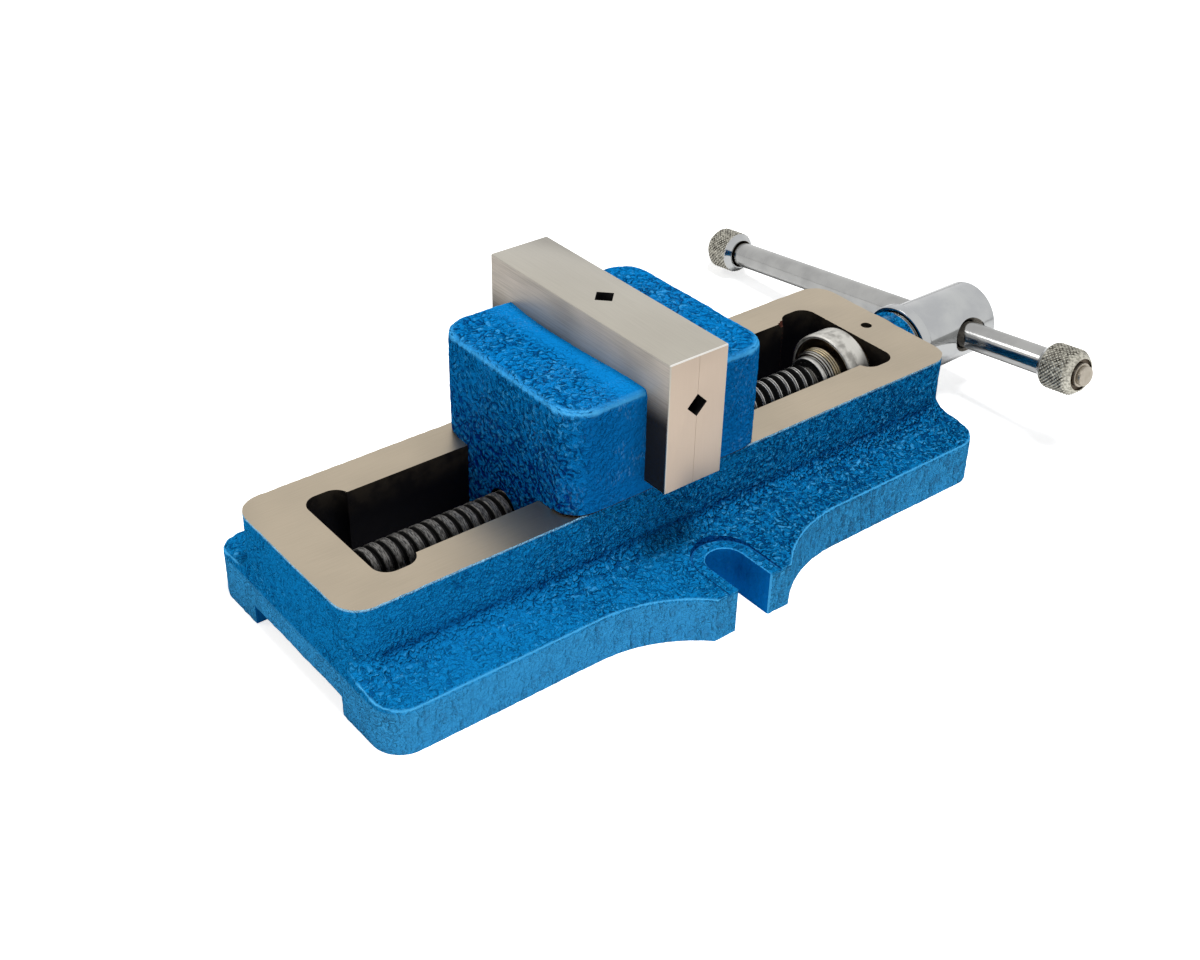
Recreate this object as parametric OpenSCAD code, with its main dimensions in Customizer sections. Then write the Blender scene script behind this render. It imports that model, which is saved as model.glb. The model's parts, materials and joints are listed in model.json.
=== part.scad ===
// Self-centering vise: two jaws on a slotted base, drawn together and pushed
// apart by one screw whose two halves are threaded to opposite hands.
// X runs along the screw towards the handle, Z is up, the feet stand on Z = 0
// and the closed jaws meet on X = 0.

/* [Jaws] */
// Length of each jaw plate across the vise
plate_len = 100; // [90:1:120]
// Height of each jaw plate
plate_h = 50; // [46:1:60]
// Thickness of each jaw plate
plate_t = 12.5; // [11.5:0.5:16]
// Width of the V grooves in the gripping faces
groove_w = 9; // [6:0.5:11]
// Depth of the level V groove below the plate's top edge
groove_drop = 19; // [14:0.5:21]
// Width of the jaw castings across the vise
jaw_w = 79; // [76:1:88]
// Height of the jaw castings above the guideway
jaw_h = 41.3; // [38:0.1:50]
// Length of each jaw casting behind its plate
jaw_len = 31.5; // [29:0.5:40]
// Height of the ledge that each plate stands on
ledge_h = 5; // [4:0.5:7]
// Radius of the upright corners of the jaw castings
jaw_corner_r = 11; // [6:0.5:14]
// Radius of the top edges of the jaw castings
jaw_edge_r = 4; // [2:0.5:6]
// Travel of each jaw from closed to fully open
jaw_travel = 49.5; // [40:0.5:60]

/* [Base] */
// Width of the base body
body_w = 76; // [72:1:84]
// Height of the ground guideway above the feet
rail_z = 45.5; // [44:0.5:52]
// Width of the guideway slot
slot_w = 43; // [40:0.5:46]
// Width of the pockets at both ends of the slot
pocket_w = 52; // [49:0.5:56]
// Length of each end pocket along the slot
pocket_len = 16; // [14:0.5:20]
// Radius of the pockets' corners
pocket_r = 6; // [3:0.5:7]
// Free length of slot behind the fully open plain-end jaw
plain_room = 15.5; // [12:0.5:25]
// Length of slot at the handle end that holds the shoulder, nut and collar
handle_room = 33.5; // [30:0.5:45]
// Thickness of both end walls
end_wall = 19.5; // [17:0.5:28]
// Radius of the body's upright corners
body_corner_r = 10; // [5:0.5:16]
// Radius of the round boss outside the handle-end wall
boss_r = 15.5; // [15:0.25:16]
// Length of the boss
boss_len = 8; // [4:0.5:14]
// Diameter of the oil hole in the handle-end wall
oil_hole_d = 4.5; // [3:0.5:6]

/* [Feet] */
// Width of the foot flange
flange_w = 117; // [108:1:130]
// Height of the flange at its outer edge
flange_edge_h = 18.5; // [15:0.5:20]
// Height of the flange where it meets the body
flange_root_h = 21; // [20:0.5:24]
// Radius of the fillet between flange and body
flange_fillet_r = 7; // [3:0.5:9]
// Radius of the flange's outer corners
flange_corner_r = 11; // [5:0.5:18]
// Width across the tips of the two bolt lugs
lug_span = 148; // [140:1:160]
// Length of each lug's tip along the vise
lug_len = 35; // [30:1:44]
// Distance of the bolt slots from the plane where the jaws meet
lug_x = 10.5; // [0:0.5:20]
// Radius of the concave sweeps that run from flange to lug
lug_sweep_r = 54; // [40:1:70]
// Width of the open bolt slots
bolt_slot_w = 15; // [11:0.5:17]
// Depth of the bolt slots from the lug's tip
bolt_slot_depth = 23; // [18:0.5:25]
// Margin of the flat bolt seat round each bolt slot
bolt_seat_margin = 5; // [3:0.5:7]
// Height of the bolt seats, which are sunk into the sloping flange
bolt_seat_h = 17.9; // [15:0.1:18.3]
// Width of the channel under the base
channel_w = 58.5; // [56:0.5:62]
// Height of the channel under the base
channel_h = 8; // [7:0.5:9]

/* [Screw] */
// Height of the screw's axis above the feet
screw_z = 29.4; // [28.5:0.1:30.5]
// Radius over the thread that drives the plain-end jaw
plain_thread_r = 7.2; // [6.8:0.1:7.6]
// Radius over the thread that drives the handle-end jaw
handle_thread_r = 8.45; // [8:0.05:9]
// Radius of the neck between the two threads
neck_r = 5.6; // [4:0.1:6.4]
// Length of the neck between the two threads
neck_len = 8; // [4:0.5:14]
// Radius of the journal in the plain-end wall
plain_journal_r = 6; // [5:0.1:6.5]
// Radius of the journal in the handle-end wall
handle_journal_r = 10.6; // [10.5:0.05:11]
// Radius of the threaded seat under the jam nut and the collar
seat_r = 10.4; // [10.25:0.05:10.45]
// Radius of the bright shoulder ring
shoulder_r = 10.2; // [9.2:0.05:10.2]
// Length of the shoulder ring
shoulder_len = 2.5; // [1.5:0.5:4]
// Length of the run-out between thread and shoulder ring
runout_len = 2; // [1:0.5:4]
// Radius of the run-out between thread and shoulder ring
runout_r = 6.5; // [5:0.1:7.5]
// Radius of the jam nut
jam_r = 12.5; // [11.8:0.1:13.5]
// Length of the jam nut
jam_len = 5.5; // [4:0.5:7]
// Radius of the thrust collar
collar_r = 17.5; // [14:0.5:19]
// Length of the thrust collar
collar_len = 11; // [8:0.5:13]
// Thickness of the thrust washer inside the wall
inner_washer_t = 2.3; // [1.5:0.1:3]
// Thickness of the thrust washer outside the boss
outer_washer_t = 1.4; // [1:0.1:2]
// Wall of the bronze bushes in both end walls
bush_wall = 2.4; // [1.8:0.1:2.6]
// Length of the bush in the plain-end wall
plain_bush_len = 14; // [10:0.5:14.5]

/* [Handle] */
// Radius of the hub
hub_r = 15.3; // [14.5:0.1:18]
// Length of the hub
hub_len = 45.4; // [42:0.2:55]
// Radius of the hub's flange
hub_flange_r = 17; // [15.8:0.1:20]
// Length of the hub's flange
hub_flange_len = 5; // [3:0.5:7]
// Depth of the screw's tail inside the hub
tail_len = 20; // [15:0.5:20]
// Radius of the screw's tail
tail_r = 9; // [7:0.1:10]
// Distance of the cross hole from the hub's outer end
bar_setback = 15.4; // [11:0.2:16]
// Radius of the sliding bar
bar_r = 5.75; // [5:0.05:6.2]
// Length of the sliding bar over both ends
bar_len = 220.5; // [160:0.5:280]
// How far the bar is pushed through the hub towards the far side
bar_shift = 36; // [-50:0.5:50]
// Tilt of the bar about the screw, far end down
bar_tilt = 7.3; // [-12:0.1:12]
// Radius of the knobs over the knurl
knob_r = 9.5; // [8:0.1:12]
// Length of each knob
knob_len = 16.5; // [12:0.5:22]
// Bevel at both ends of a knob
knob_bevel = 3; // [1:0.25:3.5]
// Radius of the bar's turned ends inside the knobs
spigot_r = 4.6; // [3.5:0.1:4.8]
// How far the turned ends stand out of the knobs
stub_len = 2.8; // [2.2:0.2:5]
// Radius of the stepped tips of the turned ends
tip_r = 4; // [3:0.1:4.2]
// Length of the stepped tips
tip_len = 2; // [1:0.1:2.1]

/* [Nuts and keepers] */
// Radius of the bronze nuts
nut_r = 13; // [11.5:0.1:13.5]
// Length of the bronze nuts
nut_len = 32; // [24:0.5:34]
// Radius of the pins that lock the nuts
nut_pin_r = 3; // [2:0.25:4]
// Thickness of the keeper plates under the rails
keeper_t = 5.5; // [4.5:0.25:6]
// Length of the keeper plates
keeper_len = 38; // [34:1:41]
// Radius of the keeper screws' threads
keeper_screw_r = 3; // [2.5:0.25:3.5]
// Radius of the plate screws' threads
plate_screw_r = 4; // [3:0.25:5]
// Height of the plate screws above the foot of the plate
plate_screw_rise = 14; // [10:0.5:17]
// Distance between the two plate screws
plate_screw_span = 56; // [46:1:60]

/* [Fits] */
// Radial clearance of a running journal or thread
run_fit = 0.05; // [0.02:0.01:0.1]
// Clearance between sliding or rubbing flat faces
slide_gap = 0.15; // [0.05:0.05:0.3]
// Gap that each jaw keeps from the meeting plane
meet_gap = 0.05; // [0.02:0.01:0.2]
// Radial clearance of the bar in the hub's cross hole
bar_fit = 0.5; // [0.2:0.05:0.8]
// Clearance round fastener heads and shanks
head_fit = 0.4; // [0.2:0.1:0.8]

/* [Hidden] */
$fn = 96;
// Overrun that lets a cut pass clean through a face
eps = 1;

LEFT = -1;
RIGHT = 1;

// Stations along the base
jaw_out = plate_t + jaw_len;
reach = jaw_out + jaw_travel;
plain_wall = -(reach + plain_room);
handle_wall = reach + handle_room;
body_x0 = plain_wall - end_wall;
body_x1 = handle_wall + end_wall;
body_len = body_x1 - body_x0;
body_cx = (body_x0 + body_x1) / 2;
boss_x = body_x1 + boss_len;

// Stations along the screw
collar_x1 = handle_wall - inner_washer_t - slide_gap;
collar_x0 = collar_x1 - collar_len;
jam_x0 = collar_x0 - jam_len;
shoulder_x0 = jam_x0 - shoulder_len;
thread_x1 = shoulder_x0 - runout_len;
hub_x0 = boss_x + outer_washer_t + slide_gap;
hub_x1 = hub_x0 + hub_len;
bar_x = hub_x1 - bar_setback;
journal_room = 2;
thread_x0 = plain_wall + journal_room;
screw_x0 = plain_wall - plain_bush_len + journal_room;
thread_lead_in = 1;

// Bores in the walls
plain_bush_r = plain_journal_r + bush_wall;
handle_bush_r = handle_journal_r + bush_wall;
boss_edge = 1;
washer_r = boss_r - boss_edge;
collar_edge = 0.8;

// Hub details
hub_edge = 1.4;
hub_groove = 0.6;
hub_groove_w = 0.8;
mouth_bevel = 0.9;
hub_pin_r = 2.5;
hub_pin_x = hub_x0 + hub_flange_len + (tail_len - hub_flange_len) / 2;
// The pin is driven from below and from the far side, out of sight
hub_pin_turn = 155;
hub_pin_bite = 5;

// Stations along the bar, measured from the hub's axis towards the far side
bar_y0 = bar_shift - bar_len / 2;
bar_y1 = bar_shift + bar_len / 2;
near_knob_y0 = bar_y0 + stub_len;
near_knob_y1 = near_knob_y0 + knob_len;
far_knob_y1 = bar_y1 - stub_len;
far_knob_y0 = far_knob_y1 - knob_len;
knob_face_share = 0.8;
knob_seat_depth = 1;
bar_edge = 0.8;

// Levels of the jaws
plate_z0 = rail_z + ledge_h;
groove_z = plate_z0 + plate_h - groove_drop;
jaw_top = rail_z + jaw_h;
jaw_foot = rail_z + slide_gap;
tongue_w = slot_w - 2 * slide_gap;
keeper_top = channel_h - slide_gap;
keeper_room = 1.15;
keeper_w = channel_w - 2 * keeper_room;
keeper_mid = jaw_out / 2;
nut_end = 4;
thread_room = 1;
nut_pin_x = nut_end + nut_len / 2;
nut_pin_bite = 2.5;

// Screws that hold plates and keepers: heads as shares of the thread's radius
socket_head_share = 1.625;
socket_head_len_share = 2;
flat_head_share = 1.9;
hex_share = 0.75;
plate_head_r = plate_screw_r * socket_head_share;
plate_head_len = plate_screw_r * socket_head_len_share;
plate_screw_depth = 18;
plate_screw_z = plate_z0 + plate_screw_rise;
head_sink = 0.6;
keeper_screw_x = 11;
keeper_screw_y = 15.5;
keeper_screw_depth = 10;
keeper_head_r = keeper_screw_r * flat_head_share;
keeper_head_len = keeper_head_r - keeper_screw_r;
keeper_head_sink = 0.3;

// Foot outline
lug_y = lug_span / 2;
flange_y = flange_w / 2;
lug_out = lug_y - flange_y;
sweep_run = sqrt(lug_sweep_r * lug_sweep_r - (lug_sweep_r - lug_out) * (lug_sweep_r - lug_out));
bolt_slot_end = lug_y - bolt_slot_depth + bolt_slot_w / 2;
flange_slope = (flange_root_h - flange_edge_h) / (flange_y - body_w / 2);
// Centre and foot of the fillet that touches both the body's side and the slope
slope_len = sqrt(1 + flange_slope * flange_slope);
fillet_z = flange_root_h + flange_fillet_r * (slope_len - flange_slope);
fillet_foot = flange_fillet_r * (1 - flange_slope / slope_len);
fillet_foot_z = fillet_z - flange_fillet_r / slope_len;

iron_blue = [0.05, 0.38, 0.68];
ground_steel = [0.78, 0.74, 0.68];
bright_steel = [0.74, 0.75, 0.77];
dark_steel = [0.2, 0.2, 0.22];
bronze = [0.76, 0.58, 0.3];

// Rod along the screw's axis from one station to another
module rod(x0, x1, r) {
    translate([x0, 0, screw_z])
        rotate([0, 90, 0])
            cylinder(h = x1 - x0, r = r);
}

// Cone along the screw's axis
module taper(x0, x1, r0, r1) {
    translate([x0, 0, screw_z])
        rotate([0, 90, 0])
            cylinder(h = x1 - x0, r1 = r0, r2 = r1);
}

// Rod with both end edges bevelled
module bevelled_rod(x0, x1, r, bevel) {
    rod(x0 + bevel, x1 - bevel, r);
    taper(x0, x0 + bevel, r - bevel, r);
    taper(x1 - bevel, x1, r, r - bevel);
}

// Section drawn in Y and Z, run along X
module run_x(x0, length) {
    translate([x0, 0, 0])
        rotate([90, 0, 90])
            linear_extrude(length)
                children();
}

// Section drawn in X and Z, run along Y
module run_y(y0, length) {
    translate([0, y0 + length, 0])
        rotate([90, 0, 0])
            linear_extrude(length)
                children();
}

// Rectangle with round corners, centred on the origin
module round_rect(size_x, size_y, r) {
    square([size_x - 2 * r, size_y], center = true);
    square([size_x, size_y - 2 * r], center = true);
    for (sx = [-1, 1], sy = [-1, 1])
        translate([sx * (size_x / 2 - r), sy * (size_y / 2 - r)])
            circle(r);
}

// Rectangle from x = 0 to size_x whose two outer corners are round
module round_end_rect(size_x, size_y, r) {
    translate([0, -size_y / 2])
        square([size_x - r, size_y]);
    translate([0, r - size_y / 2])
        square([size_x, size_y - 2 * r]);
    for (sy = [-1, 1])
        translate([size_x - r, sy * (size_y / 2 - r)])
            circle(r);
}

// Plan of the foot flange with its two lugs
module foot_plan() {
    translate([body_cx, 0])
        round_rect(body_len, flange_w, flange_corner_r);
    for (side = [-1, 1])
        difference() {
            translate([lug_x, side * lug_y / 2])
                square([lug_len + 2 * sweep_run, lug_y], center = true);
            for (end = [-1, 1])
                translate([lug_x + end * (lug_len / 2 + sweep_run), side * (flange_y + lug_sweep_r)])
                    circle(lug_sweep_r);
        }
}

// Half section of the flange: sloping top and flat lug
module flange_half_section() {
    polygon([
        [0, 0], [lug_y, 0], [lug_y, flange_edge_h], [flange_y, flange_edge_h],
        [body_w / 2, flange_root_h], [0, flange_root_h]
    ]);
}

// Section of the fillet, drawn outwards from the body's side
module fillet_section() {
    difference() {
        polygon([
            [-eps, fillet_z], [-eps, flange_root_h - eps], [fillet_foot, flange_root_h - eps],
            [fillet_foot, fillet_foot_z], [flange_fillet_r, fillet_z]
        ]);
        translate([flange_fillet_r, fillet_z])
            circle(flange_fillet_r);
    }
}

// Flange and fillets along the whole base, wider than the foot's plan
module flange_run() {
    straight = body_len - 2 * body_corner_r;
    run_x(body_x0, body_len) {
        flange_half_section();
        mirror([1, 0])
            flange_half_section();
    }
    translate([body_cx, 0, 0])
        for (turn = [0, 1])
            mirror([0, turn, 0]) {
                run_x(-straight / 2, straight)
                    translate([body_w / 2, 0])
                        fillet_section();
                for (end = [0, 1])
                    mirror([end, 0, 0])
                        translate([straight / 2, body_w / 2 - body_corner_r, 0])
                            rotate_extrude(angle = 90)
                                translate([body_corner_r, 0])
                                    fillet_section();
            }
}

// Column over one bolt slot, widened all round by a margin, from a height up
module bolt_slot_column(side, margin, z0) {
    r = bolt_slot_w / 2 + margin;
    translate([lug_x, side * bolt_slot_end, z0])
        cylinder(h = rail_z - z0, r = r);
    translate([lug_x - r, side > 0 ? bolt_slot_end : -lug_y - eps, z0])
        cube([2 * r, lug_y - bolt_slot_end + eps, rail_z - z0]);
}

// Foot flange with lugs, fillets, bolt slots and sunk bolt seats
module feet() {
    difference() {
        intersection() {
            linear_extrude(rail_z)
                foot_plan();
            flange_run();
        }
        for (side = [-1, 1]) {
            bolt_slot_column(side, 0, -eps);
            bolt_slot_column(side, bolt_seat_margin, bolt_seat_h);
        }
    }
}

// Everything that is cut out of the base between its end walls
module guideway_cut() {
    height = rail_z + eps - channel_h + eps;
    translate([plain_wall + pocket_len / 2, -slot_w / 2, channel_h - eps])
        cube([handle_wall - plain_wall - pocket_len, slot_w, height]);
    for (x = [plain_wall + pocket_len / 2, handle_wall - pocket_len / 2])
        translate([x, 0, channel_h - eps])
            linear_extrude(height)
                round_rect(pocket_len, pocket_w, pocket_r);
}

// Cast base: body, feet, end walls and boss
module base_casting() {
    color(iron_blue)
        difference() {
            union() {
                translate([body_cx, 0, 0])
                    linear_extrude(rail_z)
                        round_rect(body_len, body_w, body_corner_r);
                feet();
                rod(body_x1 - eps, boss_x - boss_edge, boss_r);
                taper(boss_x - boss_edge, boss_x, boss_r, boss_r - boss_edge);
            }
            guideway_cut();
            translate([body_x0 - eps, -channel_w / 2, -eps])
                cube([body_len + 2 * eps, channel_w, channel_h + eps]);
            rod(plain_wall - plain_bush_len, plain_wall + eps, plain_bush_r);
            rod(handle_wall - eps, boss_x + eps, handle_bush_r);
            oil_hole();
        }
}

// Oil hole from the ground top down to the handle-end journal
module oil_hole() {
    translate([(handle_wall + body_x1) / 2, 0, screw_z])
        cylinder(h = rail_z - screw_z + eps, r = oil_hole_d / 2);
}

// Bronze bush in the blind bore of the plain-end wall
module plain_bush() {
    color(bronze)
        difference() {
            rod(plain_wall - plain_bush_len, plain_wall, plain_bush_r);
            rod(plain_wall - plain_bush_len - eps, plain_wall + eps, plain_journal_r + run_fit);
        }
}

// Bronze bush through the handle-end wall and its boss
module handle_bush() {
    color(bronze)
        difference() {
            rod(handle_wall, boss_x, handle_bush_r);
            rod(handle_wall - eps, boss_x + eps, handle_journal_r + run_fit);
            oil_hole();
        }
}

// Flat thrust washer round the handle-end journal
module thrust_washer(x0, t) {
    color(bronze)
        difference() {
            rod(x0, x0 + t, washer_r);
            rod(x0 - eps, x0 + t + eps, handle_journal_r + run_fit);
        }
}

module inner_washer() {
    thrust_washer(handle_wall - inner_washer_t, inner_washer_t);
}

module outer_washer() {
    thrust_washer(boss_x, outer_washer_t);
}

// Screw: journals, two threads, neck, shoulder ring, seat and tail
module lead_screw() {
    color(dark_steel) {
        rod(screw_x0, thread_x0, plain_journal_r);
        bevelled_rod(thread_x0, -neck_len / 2, plain_thread_r, thread_lead_in);
        rod(-neck_len / 2 - eps, neck_len / 2 + eps, neck_r);
        bevelled_rod(neck_len / 2, thread_x1, handle_thread_r, thread_lead_in);
        rod(thread_x1 - eps, shoulder_x0 + eps, runout_r);
        rod(shoulder_x0, jam_x0, shoulder_r);
        rod(jam_x0, collar_x1, seat_r);
        rod(collar_x1, hub_x0, handle_journal_r);
        difference() {
            rod(hub_x0, hub_x0 + tail_len, tail_r);
            hub_pin_shape();
        }
    }
}

// Ring nut that jams the collar, with fine rings turned in its rim
module jam_nut() {
    ring_count = 4;
    ring_pitch = jam_len / ring_count;
    ring_depth = 0.4;
    color(bronze)
        difference() {
            union() {
                rod(jam_x0, collar_x0, jam_r - ring_depth);
                for (i = [0 : ring_count - 1]) {
                    ring_x0 = jam_x0 + i * ring_pitch + ring_pitch / 4;
                    rod(ring_x0, ring_x0 + ring_pitch / 2, jam_r);
                }
            }
            rod(jam_x0 - eps, collar_x0 + eps, seat_r);
        }
}

// Collar that takes the screw's pull on the inside of the wall
module thrust_collar() {
    color(bright_steel)
        difference() {
            bevelled_rod(collar_x0, collar_x1, collar_r, collar_edge);
            rod(collar_x0 - eps, collar_x1 + eps, seat_r);
        }
}

// Bar's frame: children are drawn along +Z from the hub's axis to the far side
module on_bar() {
    translate([bar_x, 0, screw_z])
        rotate([-90 - bar_tilt, 0, 0])
            children();
}

// Hub with flange, screw socket and cross hole
module hub() {
    hole_r = bar_r + bar_fit;
    color(bright_steel)
        difference() {
            union() {
                rod(hub_x0, hub_x0 + hub_flange_len, hub_flange_r);
                rod(hub_x0, hub_x1 - hub_edge, hub_r);
                taper(hub_x1 - hub_edge, hub_x1, hub_r, hub_r - hub_edge);
            }
            difference() {
                rod(hub_x0 + hub_flange_len, hub_x0 + hub_flange_len + hub_groove_w, hub_r + eps);
                rod(hub_x0, hub_x1, hub_r - hub_groove);
            }
            rod(hub_x0 - eps, hub_x0 + tail_len, tail_r);
            hub_pin_shape();
            on_bar() {
                translate([0, 0, -hub_r - eps])
                    cylinder(h = 2 * (hub_r + eps), r = hole_r);
                for (end = [0, 1])
                    mirror([0, 0, end])
                        translate([0, 0, hub_r - mouth_bevel])
                            cylinder(h = mouth_bevel + eps, r1 = hole_r, r2 = hole_r + mouth_bevel + eps);
            }
        }
}

// Shape of the pin that fixes the hub to the screw's tail
module hub_pin_shape() {
    translate([hub_pin_x, 0, screw_z])
        rotate([hub_pin_turn, 0, 0])
            translate([0, 0, tail_r - hub_pin_bite])
                cylinder(h = hub_r - tail_r + hub_pin_bite, r = hub_pin_r);
}

module hub_pin() {
    color(bright_steel)
        intersection() {
            hub_pin_shape();
            rod(hub_x0, hub_x1, hub_r);
        }
}

// Sliding bar with turned ends that carry the knobs
module handle_bar() {
    color(bright_steel)
        on_bar() {
            translate([0, 0, near_knob_y1 - knob_seat_depth])
                cylinder(h = far_knob_y0 - near_knob_y1 + 2 * knob_seat_depth, r = bar_r);
            translate([0, 0, bar_y0 + tip_len])
                cylinder(h = bar_len - 2 * tip_len, r = spigot_r);
            translate([0, 0, bar_y0 + bar_edge])
                cylinder(h = bar_len - 2 * bar_edge, r = tip_r);
            translate([0, 0, bar_y0])
                cylinder(h = bar_edge, r1 = tip_r - bar_edge, r2 = tip_r);
            translate([0, 0, bar_y1 - bar_edge])
                cylinder(h = bar_edge, r1 = tip_r, r2 = tip_r - bar_edge);
        }
}

// Knob with bevelled ends: inner end at zero, outer end at knob_len
module knob() {
    color(bright_steel)
        difference() {
            union() {
                cylinder(h = knob_bevel, r1 = knob_r - knob_bevel * knob_face_share, r2 = knob_r);
                translate([0, 0, knob_bevel])
                    cylinder(h = knob_len - 2 * knob_bevel, r = knob_r);
                translate([0, 0, knob_len - knob_bevel])
                    cylinder(h = knob_bevel, r1 = knob_r, r2 = knob_r - knob_bevel * knob_face_share);
            }
            translate([0, 0, -eps])
                cylinder(h = knob_len + 2 * eps, r = spigot_r);
            translate([0, 0, -eps])
                cylinder(h = knob_seat_depth + eps, r = bar_r);
            translate([0, 0, knob_len - knob_seat_depth])
                cylinder(h = knob_seat_depth + eps, r = spigot_r + knob_seat_depth);
        }
}

module near_knob() {
    on_bar()
        translate([0, 0, near_knob_y1])
            mirror([0, 0, 1])
                knob();
}

module far_knob() {
    on_bar()
        translate([0, 0, far_knob_y0])
            knob();
}

// Draws children for the handle-end jaw, or mirrored for the plain-end jaw
module jaw_side(side) {
    mirror([side == LEFT ? 1 : 0, 0, 0])
        children();
}

// Radius over the thread that a jaw runs on
function thread_r(side) = side == LEFT ? plain_thread_r : handle_thread_r;

// Rectangle whose upper corner at x1, or both upper corners, are round
module round_top(x0, x1, y0, y1, r, both) {
    inset = both ? r : 0;
    translate([x0, y0])
        square([x1 - x0, y1 - y0 - r]);
    translate([x0 + inset, y0])
        square([x1 - x0 - r - inset, y1 - y0]);
    translate([x1 - r, y1 - r])
        circle(r);
    if (both)
        translate([x0 + r, y1 - r])
            circle(r);
}

// Block of the jaw casting: upright corners and top edges are rounded
module jaw_block() {
    intersection() {
        translate([plate_t, 0, jaw_foot])
            linear_extrude(jaw_top - jaw_foot)
                round_end_rect(jaw_len, jaw_w, jaw_corner_r);
        run_y(-jaw_w / 2 - eps, jaw_w + 2 * eps)
            round_top(plate_t - eps, jaw_out, jaw_foot - eps, jaw_top, jaw_edge_r, false);
        run_x(plate_t - eps, jaw_len + 2 * eps)
            round_top(-jaw_w / 2, jaw_w / 2, jaw_foot - eps, jaw_top, jaw_edge_r, true);
    }
}

// Jaw casting: block, ledge under the plate, and the tongue that runs in the slot
module jaw_casting(side) {
    color(iron_blue)
        jaw_side(side)
            difference() {
                union() {
                    jaw_block();
                    translate([meet_gap, -jaw_w / 2, jaw_foot])
                        cube([plate_t - meet_gap + eps, jaw_w, plate_z0 - jaw_foot]);
                    translate([meet_gap, -tongue_w / 2, keeper_top])
                        cube([jaw_out - meet_gap, tongue_w, jaw_foot - keeper_top + eps]);
                }
                rod(-eps, nut_end + nut_len, nut_r);
                rod(0, jaw_out + eps, thread_r(side) + thread_room);
                nut_pin_shape();
                plate_screw_places()
                    cylinder(h = plate_screw_depth, r = plate_screw_r);
                keeper_screw_places()
                    cylinder(h = keeper_screw_depth, r = keeper_screw_r);
            }
}

// Places of the plate screws: +Z of the children points into the casting
module plate_screw_places() {
    for (sy = [-1, 1])
        translate([plate_t, sy * plate_screw_span / 2, plate_screw_z])
            rotate([0, 90, 0])
                children();
}

// Places of the keeper screws: +Z of the children points up into the tongue
module keeper_screw_places() {
    for (sx = [-1, 1], sy = [-1, 1])
        translate([keeper_mid + sx * keeper_screw_x, sy * keeper_screw_y, keeper_top])
            children();
}

// Jaw plate with a level and an upright V groove and two counterbored holes
module jaw_plate(side) {
    color(ground_steel)
        jaw_side(side)
            difference() {
                translate([meet_gap, -plate_len / 2, plate_z0])
                    cube([plate_t - meet_gap, plate_len, plate_h]);
                translate([0, 0, groove_z])
                    rotate([90, 45, 0])
                        groove_bar(plate_len + 2 * eps);
                translate([0, 0, plate_z0 + plate_h / 2])
                    rotate([0, 0, 45])
                        groove_bar(plate_h + 2 * eps);
                plate_screw_places() {
                    translate([0, 0, -plate_t - eps])
                        cylinder(h = plate_t + 2 * eps, r = plate_screw_r + head_fit);
                    translate([0, 0, -plate_t - eps])
                        cylinder(h = head_sink + plate_head_len + eps, r = plate_head_r + head_fit);
                }
            }
}

// Square bar whose corner cuts a V groove
module groove_bar(length) {
    edge = groove_w / sqrt(2);
    cube([edge, edge, length], center = true);
}

// Two socket head screws that hold a plate
module plate_screws(side) {
    head_z = head_sink - plate_t;
    color(dark_steel)
        jaw_side(side)
            plate_screw_places()
                difference() {
                    union() {
                        translate([0, 0, head_z])
                            cylinder(h = plate_head_len, r = plate_head_r);
                        translate([0, 0, head_z + plate_head_len - eps])
                            cylinder(h = plate_screw_depth - head_z - plate_head_len, r = plate_screw_r);
                    }
                    translate([0, 0, head_z - eps])
                        cylinder(h = plate_screw_r + eps, r = plate_screw_r * hex_share, $fn = 6);
                }
}

// Bronze nut pressed into the tongue
module jaw_nut(side) {
    color(bronze)
        jaw_side(side)
            difference() {
                rod(nut_end, nut_end + nut_len, nut_r);
                rod(0, jaw_out, thread_r(side) + run_fit);
                nut_pin_shape();
            }
}

// Pin driven up from the tongue's foot into the nut
module nut_pin_shape() {
    translate([nut_pin_x, 0, keeper_top])
        cylinder(h = screw_z - nut_r + nut_pin_bite - keeper_top, r = nut_pin_r);
}

module nut_pin(side) {
    color(dark_steel)
        jaw_side(side)
            nut_pin_shape();
}

// Keeper plate that holds a jaw down from under the rails
module jaw_keeper(side) {
    color(dark_steel)
        jaw_side(side)
            difference() {
                translate([keeper_mid - keeper_len / 2, -keeper_w / 2, keeper_top - keeper_t])
                    cube([keeper_len, keeper_w, keeper_t]);
                keeper_screw_places() {
                    keeper_screw_head();
                    translate([0, 0, -keeper_t - eps])
                        cylinder(h = keeper_head_sink + eps, r = keeper_head_r);
                    translate([0, 0, -keeper_t - eps])
                        cylinder(h = keeper_t + 2 * eps, r = keeper_screw_r + head_fit);
                }
            }
}

// Cone of a countersunk head, which the countersink in the keeper matches
module keeper_screw_head() {
    translate([0, 0, keeper_head_sink - keeper_t])
        cylinder(h = keeper_head_len, r1 = keeper_head_r, r2 = keeper_screw_r);
}

// Four countersunk screws that hold a keeper to its tongue
module keeper_screws(side) {
    head_z = keeper_head_sink - keeper_t;
    color(dark_steel)
        jaw_side(side)
            keeper_screw_places()
                difference() {
                    union() {
                        keeper_screw_head();
                        translate([0, 0, head_z])
                            cylinder(h = keeper_screw_depth - head_z, r = keeper_screw_r);
                    }
                    translate([0, 0, head_z - eps])
                        cylinder(h = keeper_screw_r + eps, r = keeper_screw_r * hex_share, $fn = 6);
                }
}

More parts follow.
